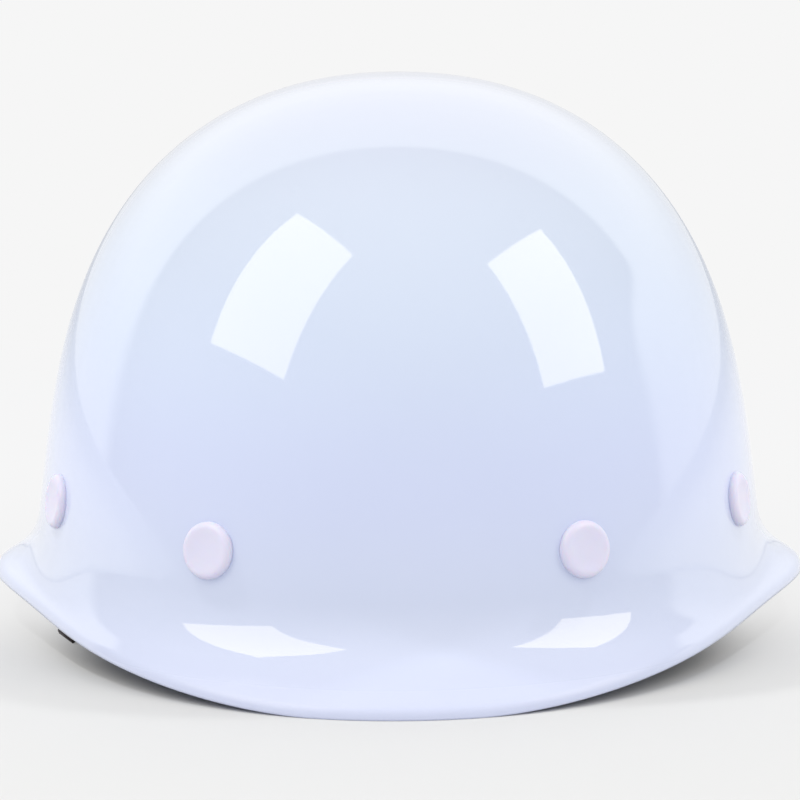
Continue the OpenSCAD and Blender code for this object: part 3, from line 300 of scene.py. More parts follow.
# The shell's form, in millimetres and degrees. Turn t goes round from the right side, by way of the rear.
HELMET_H, DOME_HALF_W, DOME_HALF_L, DOME_REAR_EXTRA = 149.2, 100.0, 116.0, 1.5
DOME_BASE_Z, DOME_DRAFT, CROWN_POWER, SHOULDER_POWER = 30.0, 0.145, 3.2, 2.2
WALL = 2.4
RIM_HALF_W, RIM_HALF_L, RIM_FLARE, FLARE_POWER = 113.0, 134.0, 10.4, 23.0
SIDE_LIFT, LEVEL_SHARE, LIFT_POWER = 11.3, 0.2, 1.6
FOOT_FRONT, FOOT_SIDE = 24.8, 19.2
LIP_R, BRIM_SLOPE_FRONT, BRIM_SLOPE_SIDE = 4.0, 40.0, 33.0
BEND_SHARE, BEND_ABOVE, BEND_BELOW = 0.6, 0.8, 0.9
STEP_Z, STEP_TURN, STEP_DOWN = 0.5, 0.4, 0.01
UP = np.array([0.0, 0.0, 1.0])


def cos_deg(a):
    return np.cos(np.radians(a))


def sin_deg(a):
    return np.sin(np.radians(a))


def unit(v):
    return v / np.linalg.norm(v, axis=-1, keepdims=True)


def bend(a, b, c, k):
    """Curve from a to c that leaves and arrives along its lines to b."""
    return (1 - k) ** 2 * a + 2 * k * (1 - k) * b + k * k * c


def dome_share(z):
    """The dome's half width at height z, as a share of its width at the base."""
    u = np.clip((z - DOME_BASE_Z) / (HELMET_H - DOME_BASE_Z), -1, 1)
    high = np.maximum(u, 0)
    return (1 - DOME_DRAFT * u) * np.power(1 - np.power(high, CROWN_POWER), 1 / SHOULDER_POWER)


def dome_point(t, z):
    """The dome's skin at turn t and height z."""
    g = dome_share(z)
    return np.stack([
        DOME_HALF_W * g * cos_deg(t),
        (DOME_HALF_L + DOME_REAR_EXTRA * sin_deg(t)) * g * sin_deg(t),
        z + 0 * t,
    ], -1)


def rim_z(t):
    """Height of the rim's edge, which lifts off the table towards both sides."""
    k = np.clip((np.abs(cos_deg(t)) - LEVEL_SHARE) / (1 - LEVEL_SHARE), 0, 1)
    return SIDE_LIFT * np.power(k, LIFT_POWER)


def foot_z(t):
    """Height at which the dome ends and the brim begins."""
    return rim_z(t) + FOOT_FRONT + (FOOT_SIDE - FOOT_FRONT) * cos_deg(t) ** 2


def rim_point(t):
    """The rim's outermost line, with a blunt point over each ear."""
    half_w = RIM_HALF_W - RIM_FLARE * (1 - np.abs(cos_deg(t)) ** FLARE_POWER)
    return np.stack([half_w * cos_deg(t), RIM_HALF_L * sin_deg(t), rim_z(t)], -1)


def lip_out(t):
    """Level direction from the dome out to the rim."""
    d = rim_point(t) - dome_point(t, foot_z(t))
    d[..., 2] = 0
    return unit(d)


def lip_point(t, a):
    """The rounded lip, where its skin has turned a degrees from level."""
    out = lip_out(t)
    a = np.asarray(a)[..., None]
    return rim_point(t) - LIP_R * out + LIP_R * (sin_deg(a) * out + cos_deg(a) * UP)


def brim_slope(t):
    return BRIM_SLOPE_FRONT + (BRIM_SLOPE_SIDE - BRIM_SLOPE_FRONT) * cos_deg(t) ** 2


def brim_point(t, k):
    """Brim at turn t: a bend from the dome's foot, then a straight slope down to the lip."""
    slope = brim_slope(t)
    foot = dome_point(t, foot_z(t))
    lip = lip_point(t, slope)
    out = lip_out(t)
    down = unit(foot - dome_point(t, foot_z(t) + STEP_Z))
    # the dome's line run on downward meets the lip's slope run on upward in the corner
    reach, drop = ((lip - foot) * out).sum(-1), lip[..., 2] - foot[..., 2]
    fall = (down * out).sum(-1)
    det = -fall * sin_deg(slope) - cos_deg(slope) * down[..., 2]
    above = (-reach * sin_deg(slope) - cos_deg(slope) * drop) / det
    below = (fall * drop - down[..., 2] * reach) / det
    corner = foot + down * above[..., None]
    end = corner + (lip - corner) * (np.minimum(BEND_ABOVE * above, BEND_BELOW * below) / below)[..., None]
    if k < BEND_SHARE:
        return bend(foot, corner, end, k / BEND_SHARE)
    return end + (lip - end) * (k - BEND_SHARE) / (1 - BEND_SHARE)


def skin_point(t, s):
    """Skin at turn t: s runs 0 to 1 down the dome, 1 to 2 over the brim and 2 to 3 round the lip."""
    if s < 1:
        return dome_point(t, foot_z(t) + (HELMET_H - foot_z(t)) * cos_deg(90 * s))
    if s < 2:
        return brim_point(t, s - 1)
    return lip_point(t, brim_slope(t) + (90 - brim_slope(t)) * (s - 2))


def skin_out(t, s):
    along = skin_point(t + STEP_TURN, s) - skin_point(t - STEP_TURN, s)
    down = skin_point(t, min(s + STEP_DOWN, 3)) - skin_point(t, s - STEP_DOWN)
    return unit(np.cross(down, along))


def inset_point(t, s, depth):
    """The point as far inside the skin as depth says. At the rim's edge it moves straight inward."""
    if s >= 3:
        return rim_point(t) - depth * lip_out(t)
    return skin_point(t, s) - depth * skin_out(t, s)


# Meshes
def add_mesh(name, verts, faces):
    """A smooth object from points in millimetres."""
    mesh = bpy.data.meshes.new(name)
    mesh.from_pydata((np.asarray(verts, float) * MM).tolist(), [], [list(f) for f in faces])
    mesh.validate()
    bm = bmesh.new()
    bm.from_mesh(mesh)
    bmesh.ops.recalc_face_normals(bm, faces=bm.faces)
    bm.to_mesh(mesh)
    bm.free()
    mesh.shade_smooth()
    o = bpy.data.objects.new(name, mesh)
    scene.collection.objects.link(o)
    return o


def bowl_mesh(rings, top_out, top_in):
    """A bowl from rings that run down its outside and back up its inside, between two top points."""
    n, m = len(rings[0]), len(rings)
    verts = np.concatenate([[top_out]] + list(rings) + [[top_in]])
    j = np.arange(n)
    k = (j + 1) % n
    faces = [(0, 1 + a, 1 + b) for a, b in zip(j, k)]
    for i in range(m - 1):
        base = 1 + i * n
        faces += [(base + a, base + n + a, base + n + b, base + b) for a, b in zip(j, k)]
    last = 1 + n * m
    base = 1 + (m - 1) * n
    faces += [(base + a, last, base + b) for a, b in zip(j, k)]
    return verts, faces


def tube_faces(rings, size):
    """Faces of a tube of rings, each with size points, and of its two ends."""
    faces = []
    for i in range(rings - 1):
        for j in range(size):
            e = (j + 1) % size
            faces.append((i * size + j, i * size + e, (i + 1) * size + e, (i + 1) * size + j))
    faces.append(tuple(range(size))[::-1])
    faces.append(tuple((rings - 1) * size + j for j in range(size)))
    return faces


def lathe(profile, steps):
    """Closed solid of turning about Z from (radius, height) points, both ends on the axis."""
    verts, faces = [(0, 0, profile[0][1])], []
    for r, z in profile[1:-1]:
        for k in range(steps):
            a = 2 * math.pi * k / steps
            verts.append((r * math.cos(a), r * math.sin(a), z))
    verts.append((0, 0, profile[-1][1]))
    rings = len(profile) - 2
    for k in range(steps):
        e = (k + 1) % steps
        faces.append((0, 1 + k, 1 + e))
        for i in range(rings - 1):
            b = 1 + i * steps
            faces.append((b + k, b + steps + k, b + steps + e, b + e))
        b = 1 + (rings - 1) * steps
        faces.append((b + k, len(verts) - 1, b + e))
    return verts, faces


def apply_modifiers(o):
    bpy.context.view_layer.update()
    got = o.evaluated_get(bpy.context.evaluated_depsgraph_get())
    mesh = bpy.data.meshes.new_from_object(got)
    o.modifiers.clear()
    o.data = mesh


# Rivets: places, then the wall's normal there
RIVET_TURN = [-118.1, -61.9, -155.8, -24.2, 155.8, 24.2, 118.1, 61.9]
RIVET_Z = [35.3, 35.3, 38.1, 38.1, 38.1, 38.1, 35.3, 35.3]
RIVET_HOLE_R, RIVET_HOLE_DEEP = 3.1, 14.0


def rivet_frame(i):
    """Matrix, in millimetres: x down the wall, y round the shell and z out of it."""
    t, z = np.array(RIVET_TURN[i]), RIVET_Z[i]
    down = dome_point(t, z - STEP_Z) - dome_point(t, z + STEP_Z)
    out = unit(np.cross(down, dome_point(t + STEP_TURN, z) - dome_point(t - STEP_TURN, z)))
    lean, bearing = math.acos(out[2]), math.atan2(out[1], out[0])
    m = np.eye(4)
    m[:3, 0] = [math.cos(lean) * math.cos(bearing), math.cos(lean) * math.sin(bearing), -math.sin(lean)]
    m[:3, 1] = [-math.sin(bearing), math.cos(bearing), 0]
    m[:3, 2] = out
    m[:3, 3] = dome_point(t, z)
    return m


def from_rivet(i, v):
    m = rivet_frame(i)
    return m[:3, 3] + m[:3, :3] @ np.array(v, float)


# Shell
SHELL_TURNS, DOME_ROWS, BRIM_ROWS, LIP_ROWS = 288, 64, 22, 7
LIP_DULL_TO, LIP_GLOSS_FROM, LIP_DULL = 0.0045, 0.0085, 0.35


def shell_material():
    m, t, bsdf, coords = new_material("shell_resin")
    z = t.add("SeparateXYZ", in_0=coords).outputs[2]
    height = t.math("DIVIDE", z, 0.149, clamp=True)
    # painted light and shade: the base colour changes with height, set band by band to how bright each height
    # renders, and the top is painted darker because the lamps light it most
    tone = t.ramp(height, [
        (0.0, srgb(207, 212, 236)),
        (0.16, srgb(217, 225, 243)),
        (0.34, srgb(215, 222, 251)),
        (0.55, srgb(216, 227, 247)),
        (0.80, srgb(206, 215, 228)),
        (1.0, srgb(190, 194, 211)),
    ], "B_SPLINE")
    cloud = t.noise(coords, 26.0, 4.0, 0.6, 0.3)
    tone = t.mix(t.math("MULTIPLY", cloud, 0.10), tone, srgb(232, 234, 250))
    smear = t.noise(coords, 60.0, 3.0, 0.6)
    # the trimmed lip is duller than the skin above it
    lip = t.ease(z, LIP_DULL_TO, LIP_GLOSS_FROM, LIP_DULL, 0.0)
    t.feed(bsdf, Base_Color=tone, IOR=1.56, Coat_Roughness=0.03,
           Roughness=t.math("ADD", t.math("MULTIPLY_ADD", smear, 0.03, 0.03), lip),
           Coat_Weight=t.math("MULTIPLY_ADD", lip, -1.9, 0.75))
    ripple = t.noise(coords, 14.0, 2.0, 0.4)
    peel = t.noise(coords, 420.0, 2.0, 0.5)
    t.feed(bsdf, Normal=t.bump(peel, 0.05, 0.00006, t.bump(ripple, 0.12, 0.0006)))
    return m


def cut_rivet_holes(o):
    cut = bmesh.new()
    for i in range(len(RIVET_TURN)):
        place = Matrix.Scale(MM, 4) @ Matrix(rivet_frame(i).tolist())
        bmesh.ops.create_cone(cut, cap_ends=True, segments=32, radius1=RIVET_HOLE_R, radius2=RIVET_HOLE_R,
                              depth=RIVET_HOLE_DEEP, matrix=place)
    mesh = bpy.data.meshes.new("cut")
    cut.to_mesh(mesh)
    cut.free()
    cutter = bpy.data.objects.new("cut", mesh)
    scene.collection.objects.link(cutter)
    mod = o.modifiers.new("holes", "BOOLEAN")
    mod.operation = "DIFFERENCE"
    mod.solver = "EXACT"
    mod.object = cutter
    apply_modifiers(o)
    o.data.shade_smooth()
    bpy.data.objects.remove(cutter)


def make_shell():
    t = np.arange(SHELL_TURNS) * 360 / SHELL_TURNS
    down = [k / DOME_ROWS for k in range(1, DOME_ROWS + 1)]
    down += [1 + k / BRIM_ROWS for k in range(1, BRIM_ROWS + 1)]
    down += [2 + k / LIP_ROWS for k in range(1, LIP_ROWS + 1)]
    rings = [skin_point(t, s) for s in down] + [inset_point(t, s, WALL) for s in reversed(down)]
    verts, faces = bowl_mesh(rings, [0, 0, HELMET_H], [0, 0, HELMET_H - WALL])
    o = add_mesh("helmet_shell", verts, faces)
    cut_rivet_holes(o)
    o.data.materials.clear()
    o.data.materials.append(shell_material())
    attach(o, "helmet")
    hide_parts("shell")


make_shell()


# Materials of the fittings
BEADS_PER_METRE = 330.0


def tinted(colour, share, lift=0.0):
    return tuple(min(1.0, v * share + lift) for v in colour)


def plastic(name, colour, rough, grain=0.35, translucent=0.0):
    """Moulded plastic: fine spark-eroded grain, slight flow marks and rubbed lighter edges."""
    m, t, bsdf, coords = new_material(name)
    flow = t.noise(coords, 38.0, 3.0, 0.55, 0.6)
    tone = t.mix(t.math("MULTIPLY", flow, 0.12), colour, tinted(colour, 1.25, 0.02))
    edge = t.add("NewGeometry").outputs["Pointiness"]
    worn = t.math("MULTIPLY", t.math("SUBTRACT", edge, 0.52), 9.0, clamp=True)
    tone = t.mix(t.math("MULTIPLY", worn, 0.25), tone, tinted(colour, 1.5, 0.05))
    rubbed = t.noise(coords, 110.0, 3.0, 0.6)
    t.feed(bsdf, Base_Color=tone, Roughness=t.math("MULTIPLY_ADD", rubbed, 0.16, rough - 0.08), IOR=1.49)
    if translucent:
        t.feed(bsdf, Subsurface_Weight=translucent, Subsurface_Radius=(1.0, 0.9, 0.8), Subsurface_Scale=0.002)
    t.feed(bsdf, Normal=t.bump(t.noise(coords, 1900.0, 2.0, 0.6), grain, 0.00005))
    return m


def steel_material():
    """Plated steel with marks drawn out along the piece's own Z."""
    m, t, bsdf, coords = new_material("plated_steel")
    mark = t.noise(t.add("Mapping", in_Vector=coords, in_Scale=(900.0, 900.0, 60.0)).outputs[0], 1.0)
    t.feed(bsdf, Base_Color=t.mix(mark, (0.56, 0.57, 0.59), (0.74, 0.74, 0.75)), Metallic=1.0,
           Roughness=t.math("MULTIPLY_ADD", mark, 0.2, 0.22), Normal=t.bump(mark, 0.12, 0.00004))
    return m


def webbing_material(name, colour, light, cord, rib):
    """Woven webbing. The weave map counts millimetres along (u) and across (v) the strap."""
    m, t, bsdf, coords = new_material(name)
    u, v = t.add("SeparateXYZ", in_0=t.add("UVMap", uv_map="weave").outputs[0]).outputs[:2]
    across = t.math("DIVIDE", v, cord)
    rise = t.math("ABSOLUTE", t.math("SINE", t.math("MULTIPLY", across, math.pi)))
    # each cord's ribs are half a rib further along than its neighbour's
    along = t.math("ADD", t.math("DIVIDE", u, rib), t.math("MULTIPLY", t.math("FLOOR", across), 0.5))
    weft = t.math("ABSOLUTE", t.math("SINE", t.math("MULTIPLY", along, math.pi)))
    height = t.math("MULTIPLY", t.math("POWER", rise, 0.6), t.math("MULTIPLY_ADD", weft, 0.65, 0.35))
    fuzz = t.noise(coords, 2600.0, 3.0, 0.7)
    worn = t.noise(coords, 45.0, 4.0, 0.6)
    # painted shade: the weave's low places, between the cords and between the ribs, are darker
    tone = t.mix(height, tinted(colour, 0.45), colour)
    tone = t.mix(t.math("MULTIPLY", fuzz, 0.35), tone, light)
    tone = t.mix(t.math("MULTIPLY", worn, 0.22), tone, tinted(colour, 0.7))
    t.feed(bsdf, Base_Color=tone, Roughness=0.85, Specular_IOR_Level=0.25, Sheen_Weight=0.35,
           Sheen_Roughness=0.45, Normal=t.bump(fuzz, 0.35, 0.00012, t.bump(height, 0.85, 0.00035)))
    return m


def thread_material(name, colour):
    """Thread with the slanting bands of its twist."""
    m, t, bsdf, coords = new_material(name)
    twist = t.add("TexWave", wave_type="BANDS", bands_direction="DIAGONAL")
    t.feed(twist, Vector=coords, Scale=900.0, Distortion=2.0)
    strand = twist.outputs["Fac"]
    # painted shade: the low bands of the twist are darker
    t.feed(bsdf, Base_Color=t.mix(strand, tinted(colour, 0.6), colour), Roughness=0.6, Sheen_Weight=0.3,
           Normal=t.bump(strand, 0.5, 0.0001))
    return m


def cloth_material(name, colour, light):
    """Knitted cloth over foam: small loops, a soft pile and slow changes of tone."""
    m, t, bsdf, coords = new_material(name)
    loop = t.cells(coords, 950.0)["Distance"]
    pile = t.noise(coords, 2300.0, 3.0, 0.7)
    slow = t.noise(coords, 30.0, 3.0, 0.5)
    tone = t.mix(t.math("MULTIPLY", slow, 0.3), t.mix(loop, light, colour), tinted(colour, 0.7))
    t.feed(bsdf, Base_Color=tone, Roughness=0.92, Specular_IOR_Level=0.2, Sheen_Weight=0.5,
           Normal=t.bump(pile, 0.4, 0.0001, t.bump(loop, 0.6, 0.0003)))
    return m


def foam_material():
    """Moulded bead foam: pressed beads with fine seams between them."""
    m, t, bsdf, coords = new_material("bead_foam")
    seam = t.cells(coords, BEADS_PER_METRE, "DISTANCE_TO_EDGE")["Distance"]
    bead = t.math("MULTIPLY", seam, 3.2, clamp=True)
    tint = t.add("SeparateColor", in_0=t.cells(coords, BEADS_PER_METRE)["Color"]).outputs[0]
    tone = t.mix(bead, (0.70, 0.71, 0.72), (0.88, 0.885, 0.885))
    tone = t.mix(t.math("MULTIPLY", tint, 0.10), tone, (0.76, 0.77, 0.78))
    t.feed(bsdf, Base_Color=tone, Roughness=0.68, Subsurface_Weight=0.15, Subsurface_Scale=0.003,
           Normal=t.bump(t.math("POWER", bead, 0.5), 0.5, 0.0005))
    return m


HANGER = plastic("hanger_plastic", srgb(214, 216, 221), 0.45, translucent=0.1)
BAND = plastic("band_plastic", srgb(226, 229, 233), 0.38, translucent=0.2)
BLACK = plastic("black_plastic", srgb(46, 47, 52), 0.48, 0.6)
PALE = plastic("pale_plastic", srgb(226, 225, 219), 0.40, translucent=0.15)
STEEL = steel_material()
CROWN_WEB = webbing_material("crown_webbing", srgb(204, 207, 213), srgb(236, 238, 241), 1.25, 1.1)
CHIN_WEB = webbing_material("strap_webbing", srgb(62, 50, 49), srgb(112, 98, 94), 1.15, 1.0)
CROWN_THREAD = thread_material("crown_thread", srgb(236, 237, 240))
CHIN_THREAD = thread_material("strap_thread", srgb(84, 72, 68))
CLOTH = cloth_material("pad_cloth", srgb(74, 77, 85), srgb(120, 124, 132))
FOAM = foam_material()


def dress(names, material):
    """Gives the CAD nodes of these names the material."""
    for name in names:
        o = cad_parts[name]
        if not o.material_slots:
            o.data.materials.append(material)
        for s in o.material_slots:
            s.link = "OBJECT"
            s.material = material


dress(["hanger_%s_%s" % (row, side) for row in ("front", "side_front", "side_rear", "rear")
       for side in ("left", "right")], HANGER)
dress(["headband", "nape_arm_left", "nape_arm_right"], BAND)
dress(["nape_housing", "nape_cover", "size_knob", "strap_eye_left", "strap_eye_right", "buckle_plug",
       "buckle_prongs", "buckle_socket", "strap_slider", "strap_keeper"], BLACK)
dress(["click_ring", "pinion"], PALE)
dress(["rivet_washers", "knob_screw", "strap_pivot_left", "strap_pivot_right"], STEEL)


# Webbing and stitches. A weave map counts millimetres along (u) and across (v) the strap.
STITCH_PITCH, STITCH_L, STITCH_R, STITCH_SIDES = 2.6, 1.9, 0.28, 6
STITCH_FORM = ((0.0, 0.25, -0.35), (0.12, 0.8, 0.05), (0.35, 1.0, 0.18),
               (0.65, 1.0, 0.18), (0.88, 0.8, 0.05), (1.0, 0.25, -0.35))
SEAM_LIFT = 0.02


def web_section(w, t):
    """Half-round edges and flat faces: points across (v) and through (n), with v along the girth."""
    e = t / 2
    flat = np.linspace(-w / 2 + e, w / 2 - e, 9)[1:-1]
    quarter = np.linspace(math.pi / 2, 0, 4)
    points = [(-w / 2 + e * (1 - math.sin(a)), -e * math.cos(a)) for a in quarter]
    points += [(x, -e) for x in flat]
    points += [(w / 2 - e * (1 - math.sin(a)), -e * math.cos(a)) for a in np.linspace(0, math.pi, 7)]
    points += [(x, e) for x in flat[::-1]]
    points += [(-w / 2 + e * (1 - math.sin(a)), e * math.cos(a)) for a in quarter[::-1][:-1]]
    return points


def lengths(points):
    """How far along the line each of its points lies."""
    return np.r_[0, np.cumsum(np.linalg.norm(np.diff(points, axis=0), axis=1))]


def resample(points, step):
    """The line with its points about step apart, and their lengths along it."""
    points = np.asarray(points, float)
    d = lengths(points)
    n = max(2, int(math.ceil(d[-1] / step)))
    s = np.linspace(0, d[-1], n + 1)
    return np.stack([np.interp(s, d, points[:, k]) for k in range(points.shape[1])], -1), s


def smooth_line(points, step, rounds):
    line, _ = resample(points, step)
    for _ in range(rounds):
        line[1:-1] = 0.25 * line[:-2] + 0.5 * line[1:-1] + 0.25 * line[2:]
    return line


def web_verts(points, wide, w, t, round_start=False, round_end=False, square=True):
    """Strap along points (mm), each with its direction across. Returns vertices, faces and weave map.

    A strap that isn't square keeps the directions across as given, as a fold that runs askew does."""
    points, wide = np.asarray(points, float), unit(np.asarray(wide, float))
    along = unit(np.gradient(points, axis=0))
    if square:
        wide = unit(wide - (wide * along).sum(-1, keepdims=True) * along)
    out = unit(np.cross(along, wide))
    dist = lengths(points)
    section = web_section(w, t)
    verts, uv = [], []
    for i in range(len(points)):
        share = 1.0
        for rounded, gap in ((round_start, dist[i]), (round_end, dist[-1] - dist[i])):
            if rounded and gap < w / 2:
                share = min(share, math.sqrt(max(0.0, 1 - (1 - gap / (w / 2)) ** 2)) + 0.02)
        for a, b in section:
            verts.append(points[i] + a * share * wide[i] + b * out[i])
            uv.append((dist[i], a * share + w / 2))
    return verts, tube_faces(len(points), len(section)), uv


def web_object(name, parts, material):
    """One object from parts that each have vertices, faces and a weave map."""
    verts, faces, uv = [], [], []
    for part_verts, part_faces, part_uv in parts:
        base = len(verts)
        verts += list(part_verts)
        faces += [tuple(base + i for i in face) for face in part_faces]
        uv += list(part_uv)
    o = add_mesh(name, verts, faces)
    layer = o.data.uv_layers.new(name="weave")
    loops = np.empty(len(o.data.loops), int)
    o.data.loops.foreach_get("vertex_index", loops)
    layer.data.foreach_set("uv", np.asarray(uv, float)[loops].ravel())
    o.data.materials.append(material)
    return o


def stitch_parts(path, normal):
    """Short rounded thread stitches along a path that lies on a surface with the normal normal."""
    points, s = resample(path, 0.5)
    normal = np.asarray(normal, float)
    count = max(1, int(s[-1] // STITCH_PITCH))
    parts = []
    for i in range(count):
        middle = (i + 0.5) * s[-1] / count
        a, b = (np.array([np.interp(at, s, points[:, k]) for k in range(3)])
                for at in (middle - STITCH_L / 2, middle + STITCH_L / 2))
        side = unit(np.cross(normal, unit(b - a)))
        verts = []
        for k, wide, up in STITCH_FORM:
            p = a + (b - a) * k + normal * up * STITCH_R
            for q in range(STITCH_SIDES):
                g = q * 2 * math.pi / STITCH_SIDES
                verts.append(p + wide * STITCH_R * (math.cos(g) * side + math.sin(g) * normal))
        parts.append((verts, tube_faces(len(STITCH_FORM), STITCH_SIDES), [(0, 0)] * len(verts)))
    return parts


def stitches(name, runs, material, body):
    """The stitches of all the runs, each a path and its surface's normal, as one object."""
    parts = []
    for path, normal in runs:
        parts += stitch_parts(path, normal)
    o = web_object(name, parts, material)
    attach(o, body)


# Crown straps
HANGER_GAP, HANGER_T = 1.3, 2.2
PLATE_IN_Z = -(WALL + HANGER_GAP) - HANGER_T
BAR_UP, BAR_IN, BAR_D = 20.5, 12.0, 4.0
SOFT_GAP = 0.4
STRAP_W, STRAP_T = 18.0, 1.3
STRAP_RISE = 25 * np.array([-0.45, 0.89])
CROSSING_Z, CROSSING_STEP, CROSSING_FLAT = 113.0, 2.0, 0.55
STRAP_ENDS = [(0, 7), (1, 6), (2, 5), (3, 4)]
LOOP_R = BAR_D / 2 + SOFT_GAP
TAIL_FROM, TAIL_TO, TAIL_CLOSE = 9, 27, 12.0
BOX_FROM, BOX_TO, BOX_HALF = 13, 25, 6.3


def half_path(bar, reach, high):
    """Inner face's line in (radius, height), from beside the hanger's bar up to the crossing."""
    a = np.array([reach - LOOP_R, bar[2] + LOOP_R / 2])
    b = a + STRAP_RISE
    c = np.array([(reach - LOOP_R) * CROSSING_FLAT, high])
    d = np.array([0.0, high])
    k = np.linspace(0, 1, 61)[:, None]
    return (1 - k) ** 3 * a + 3 * k * (1 - k) ** 2 * b + 3 * k * k * (1 - k) * c + k ** 3 * d


def strap_half(i, high):
    """Strap from hanger i to the crossing: points, their directions across, seam line and its normal."""
    bar = from_rivet(i, (-BAR_UP, 0, -BAR_IN))
    reach = math.hypot(bar[0], bar[1])
    path = half_path(bar, reach, high)
    d = lengths(path)
    along = unit(np.gradient(path, axis=0))
    outward = np.stack([along[:, 1], -along[:, 0]], -1)
    r = LOOP_R + STRAP_T / 2
    spread = STRAP_T * 1.03 + (2 * r - STRAP_T) * (1 - np.clip((d - 1.0) / TAIL_CLOSE, 0, 1)) ** 2 * 0.5
    tail = (path + outward * spread[:, None])[(d > TAIL_FROM) & (d < TAIL_TO)][::-1]
    around = np.radians(np.linspace(18, -168, 20))
    ring = np.stack([reach + r * np.cos(around), bar[2] + r * np.sin(around)], -1)
    line = smooth_line(np.concatenate([tail, ring, path[2:]]), 1.6, 2)
    bearing = math.atan2(bar[1], bar[0])
    out = np.array([math.cos(bearing), math.sin(bearing), 0])
    points = line[:, :1] * out + line[:, 1:] * UP
    across = np.tile([-out[1], out[0], 0.0], (len(points), 1))
    box = (d > BOX_FROM) & (d < BOX_TO)
    seam = path[box] - outward[box] * (STRAP_T / 2 + SEAM_LIFT)
    normal = -(outward[box][0][0] * out + outward[box][0][1] * UP)
    return points, across, seam[:, :1] * out + seam[:, 1:] * UP, normal


def make_crown_strap(number, ends, high):
    """A strap between two hangers, sewn to itself at both with a box and one diagonal."""
    parts, runs = [], []
    for i in ends:
        points, across, seam, normal = strap_half(i, high)
        side = across[0] * BOX_HALF
        parts.append(web_verts(points, across, STRAP_W, STRAP_T))
        runs += [(seam - side, normal), (seam + side, normal)]
        runs += [(np.array([p - side, p + side]), normal) for p in (seam[0], seam[-1])]
        runs.append((np.array([seam[0] - side, seam[-1] + side]), normal))
    o = web_object("crown_webbing_%d" % number, parts, CROWN_WEB)
    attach(o, "helmet")
    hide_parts("crown_strap_%d" % number)
    stitches("crown_stitches_%d" % number, runs, CROWN_THREAD, "helmet")


for n, ends in enumerate(STRAP_ENDS):
    make_crown_strap(n + 1, ends, CROSSING_Z - n * CROSSING_STEP)


# Crown patch
PATCH_R, PATCH_SEAMS = 13.0, ((2.2, 0.03), (5.4, 0.05))


def ring_line(r, z, steps=60):
    a = np.linspace(0, 2 * math.pi, steps + 1)
    return np.stack([r * np.cos(a), r * np.sin(a), z + 0 * a], -1)


def make_patch():
    """A round of webbing with a slightly wavy underside and a round edge."""
    low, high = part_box("crown_patch")
    z0, z1 = low[2] / MM, high[2] / MM
    e = (z1 - z0) / 2
    flat_r = PATCH_R - e
    profile = [(0, z0)] + [(flat_r * k / 6, z0 + 0.12 * math.sin(k * 2.1) ** 2) for k in range(1, 7)]
    edge = np.linspace(-1.3, 1.3, 7)
    profile += [(flat_r + e * math.cos(a), (z0 + z1) / 2 + e * math.sin(a)) for a in edge]
    profile += [(flat_r * (6 - k) / 6, z1) for k in range(6)] + [(0, z1)]
    verts, faces = lathe(profile, 72)
    uv = [(v[0] + PATCH_R, v[1] + PATCH_R) for v in verts]
    o = web_object("crown_patch_cloth", [(verts, faces, uv)], CROWN_WEB)
    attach(o, "helmet")
    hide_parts("crown_patch")
    down = np.array([0, 0, -1.0])
    runs = [(ring_line(PATCH_R - inward, z0 + lift), down) for inward, lift in PATCH_SEAMS]
    stitches("crown_patch_stitches", runs, CROWN_THREAD, "helmet")


make_patch()


# Impact liner
LINER_Z, LINER_T = 74.0, 10.0
LINER_TURNS, LINER_ROWS = 240, 44
CHANNELS, CHANNEL_DEEP = 8, 1.6
LINER_OUT = WALL + SOFT_GAP
LINER_IN = LINER_OUT + LINER_T


def make_liner():
    """Foam bowl with shallow air channels on its inside, which fade out at the top and the edge."""
    t = np.arange(LINER_TURNS) * 360 / LINER_TURNS
    low = np.degrees(np.arccos((LINER_Z - foot_z(t)) / (HELMET_H - foot_z(t)))) / 90

    def ring(share, depth, groove=0.0):
        points = []
        for a, s in zip(t, low):
            channel = max(0.0, math.cos(math.radians(a * CHANNELS))) ** 4
            points.append(inset_point(np.array([a]), max(0.02, s * share), depth - groove * channel)[0])
        return np.array(points)

    rings = [ring(k / LINER_ROWS, LINER_OUT) for k in range(1, LINER_ROWS)]
    edge = [(0.988, LINER_OUT), (0.998, LINER_OUT + 0.7), (1.0, LINER_OUT + 2.0),
            (1.0, (LINER_OUT + LINER_IN) / 2), (1.0, LINER_IN - 3.0), (0.992, LINER_IN - 1.2),
            (0.975, LINER_IN - 0.3)]
    rings += [ring(share, depth) for share, depth in edge]
    for k in range(LINER_ROWS - 2, 0, -1):
        share = k / LINER_ROWS
        fade = min(1.0, share / 0.35, (1 - share) / 0.08)
        rings.append(ring(share, LINER_IN, CHANNEL_DEEP * fade))
    verts, faces = bowl_mesh(rings, [0, 0, HELMET_H - LINER_OUT], [0, 0, HELMET_H - LINER_IN])
    o = add_mesh("foam_liner", verts, faces)
    o.data.materials.append(FOAM)
    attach(o, "helmet")
    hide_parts("impact_liner")


make_liner()


# The headband's plan: an arc at the brow, one at the nape and one at each side, tangent to both
BAND_HALF_W, BAND_FRONT, BAND_REAR = 78.5, 97.5, 93.5
BROW_R, NAPE_R = 66.0, 72.0
BAND_TOP, BAND_LOW = 49.0, 24.0
RAY_FROM, RAY_STEPS = 160, 14
NAPE_CY, BROW_CY = BAND_REAR - NAPE_R, BROW_R - BAND_FRONT
SIDE_K = (NAPE_R - BROW_R) / (NAPE_CY - BROW_CY)
SIDE_M = (NAPE_CY ** 2 - BROW_CY ** 2 - NAPE_R ** 2 + BROW_R ** 2) / (2 * (NAPE_CY - BROW_CY))
SIDE_B = 2 * SIDE_K * (SIDE_M - NAPE_CY) - 2 * (BAND_HALF_W - NAPE_R)
SIDE_C = (SIDE_M - NAPE_CY) ** 2 - NAPE_R ** 2 + BAND_HALF_W ** 2
SIDE_R = (-SIDE_B - math.sqrt(SIDE_B ** 2 - 4 * SIDE_K ** 2 * SIDE_C)) / (2 * SIDE_K ** 2)
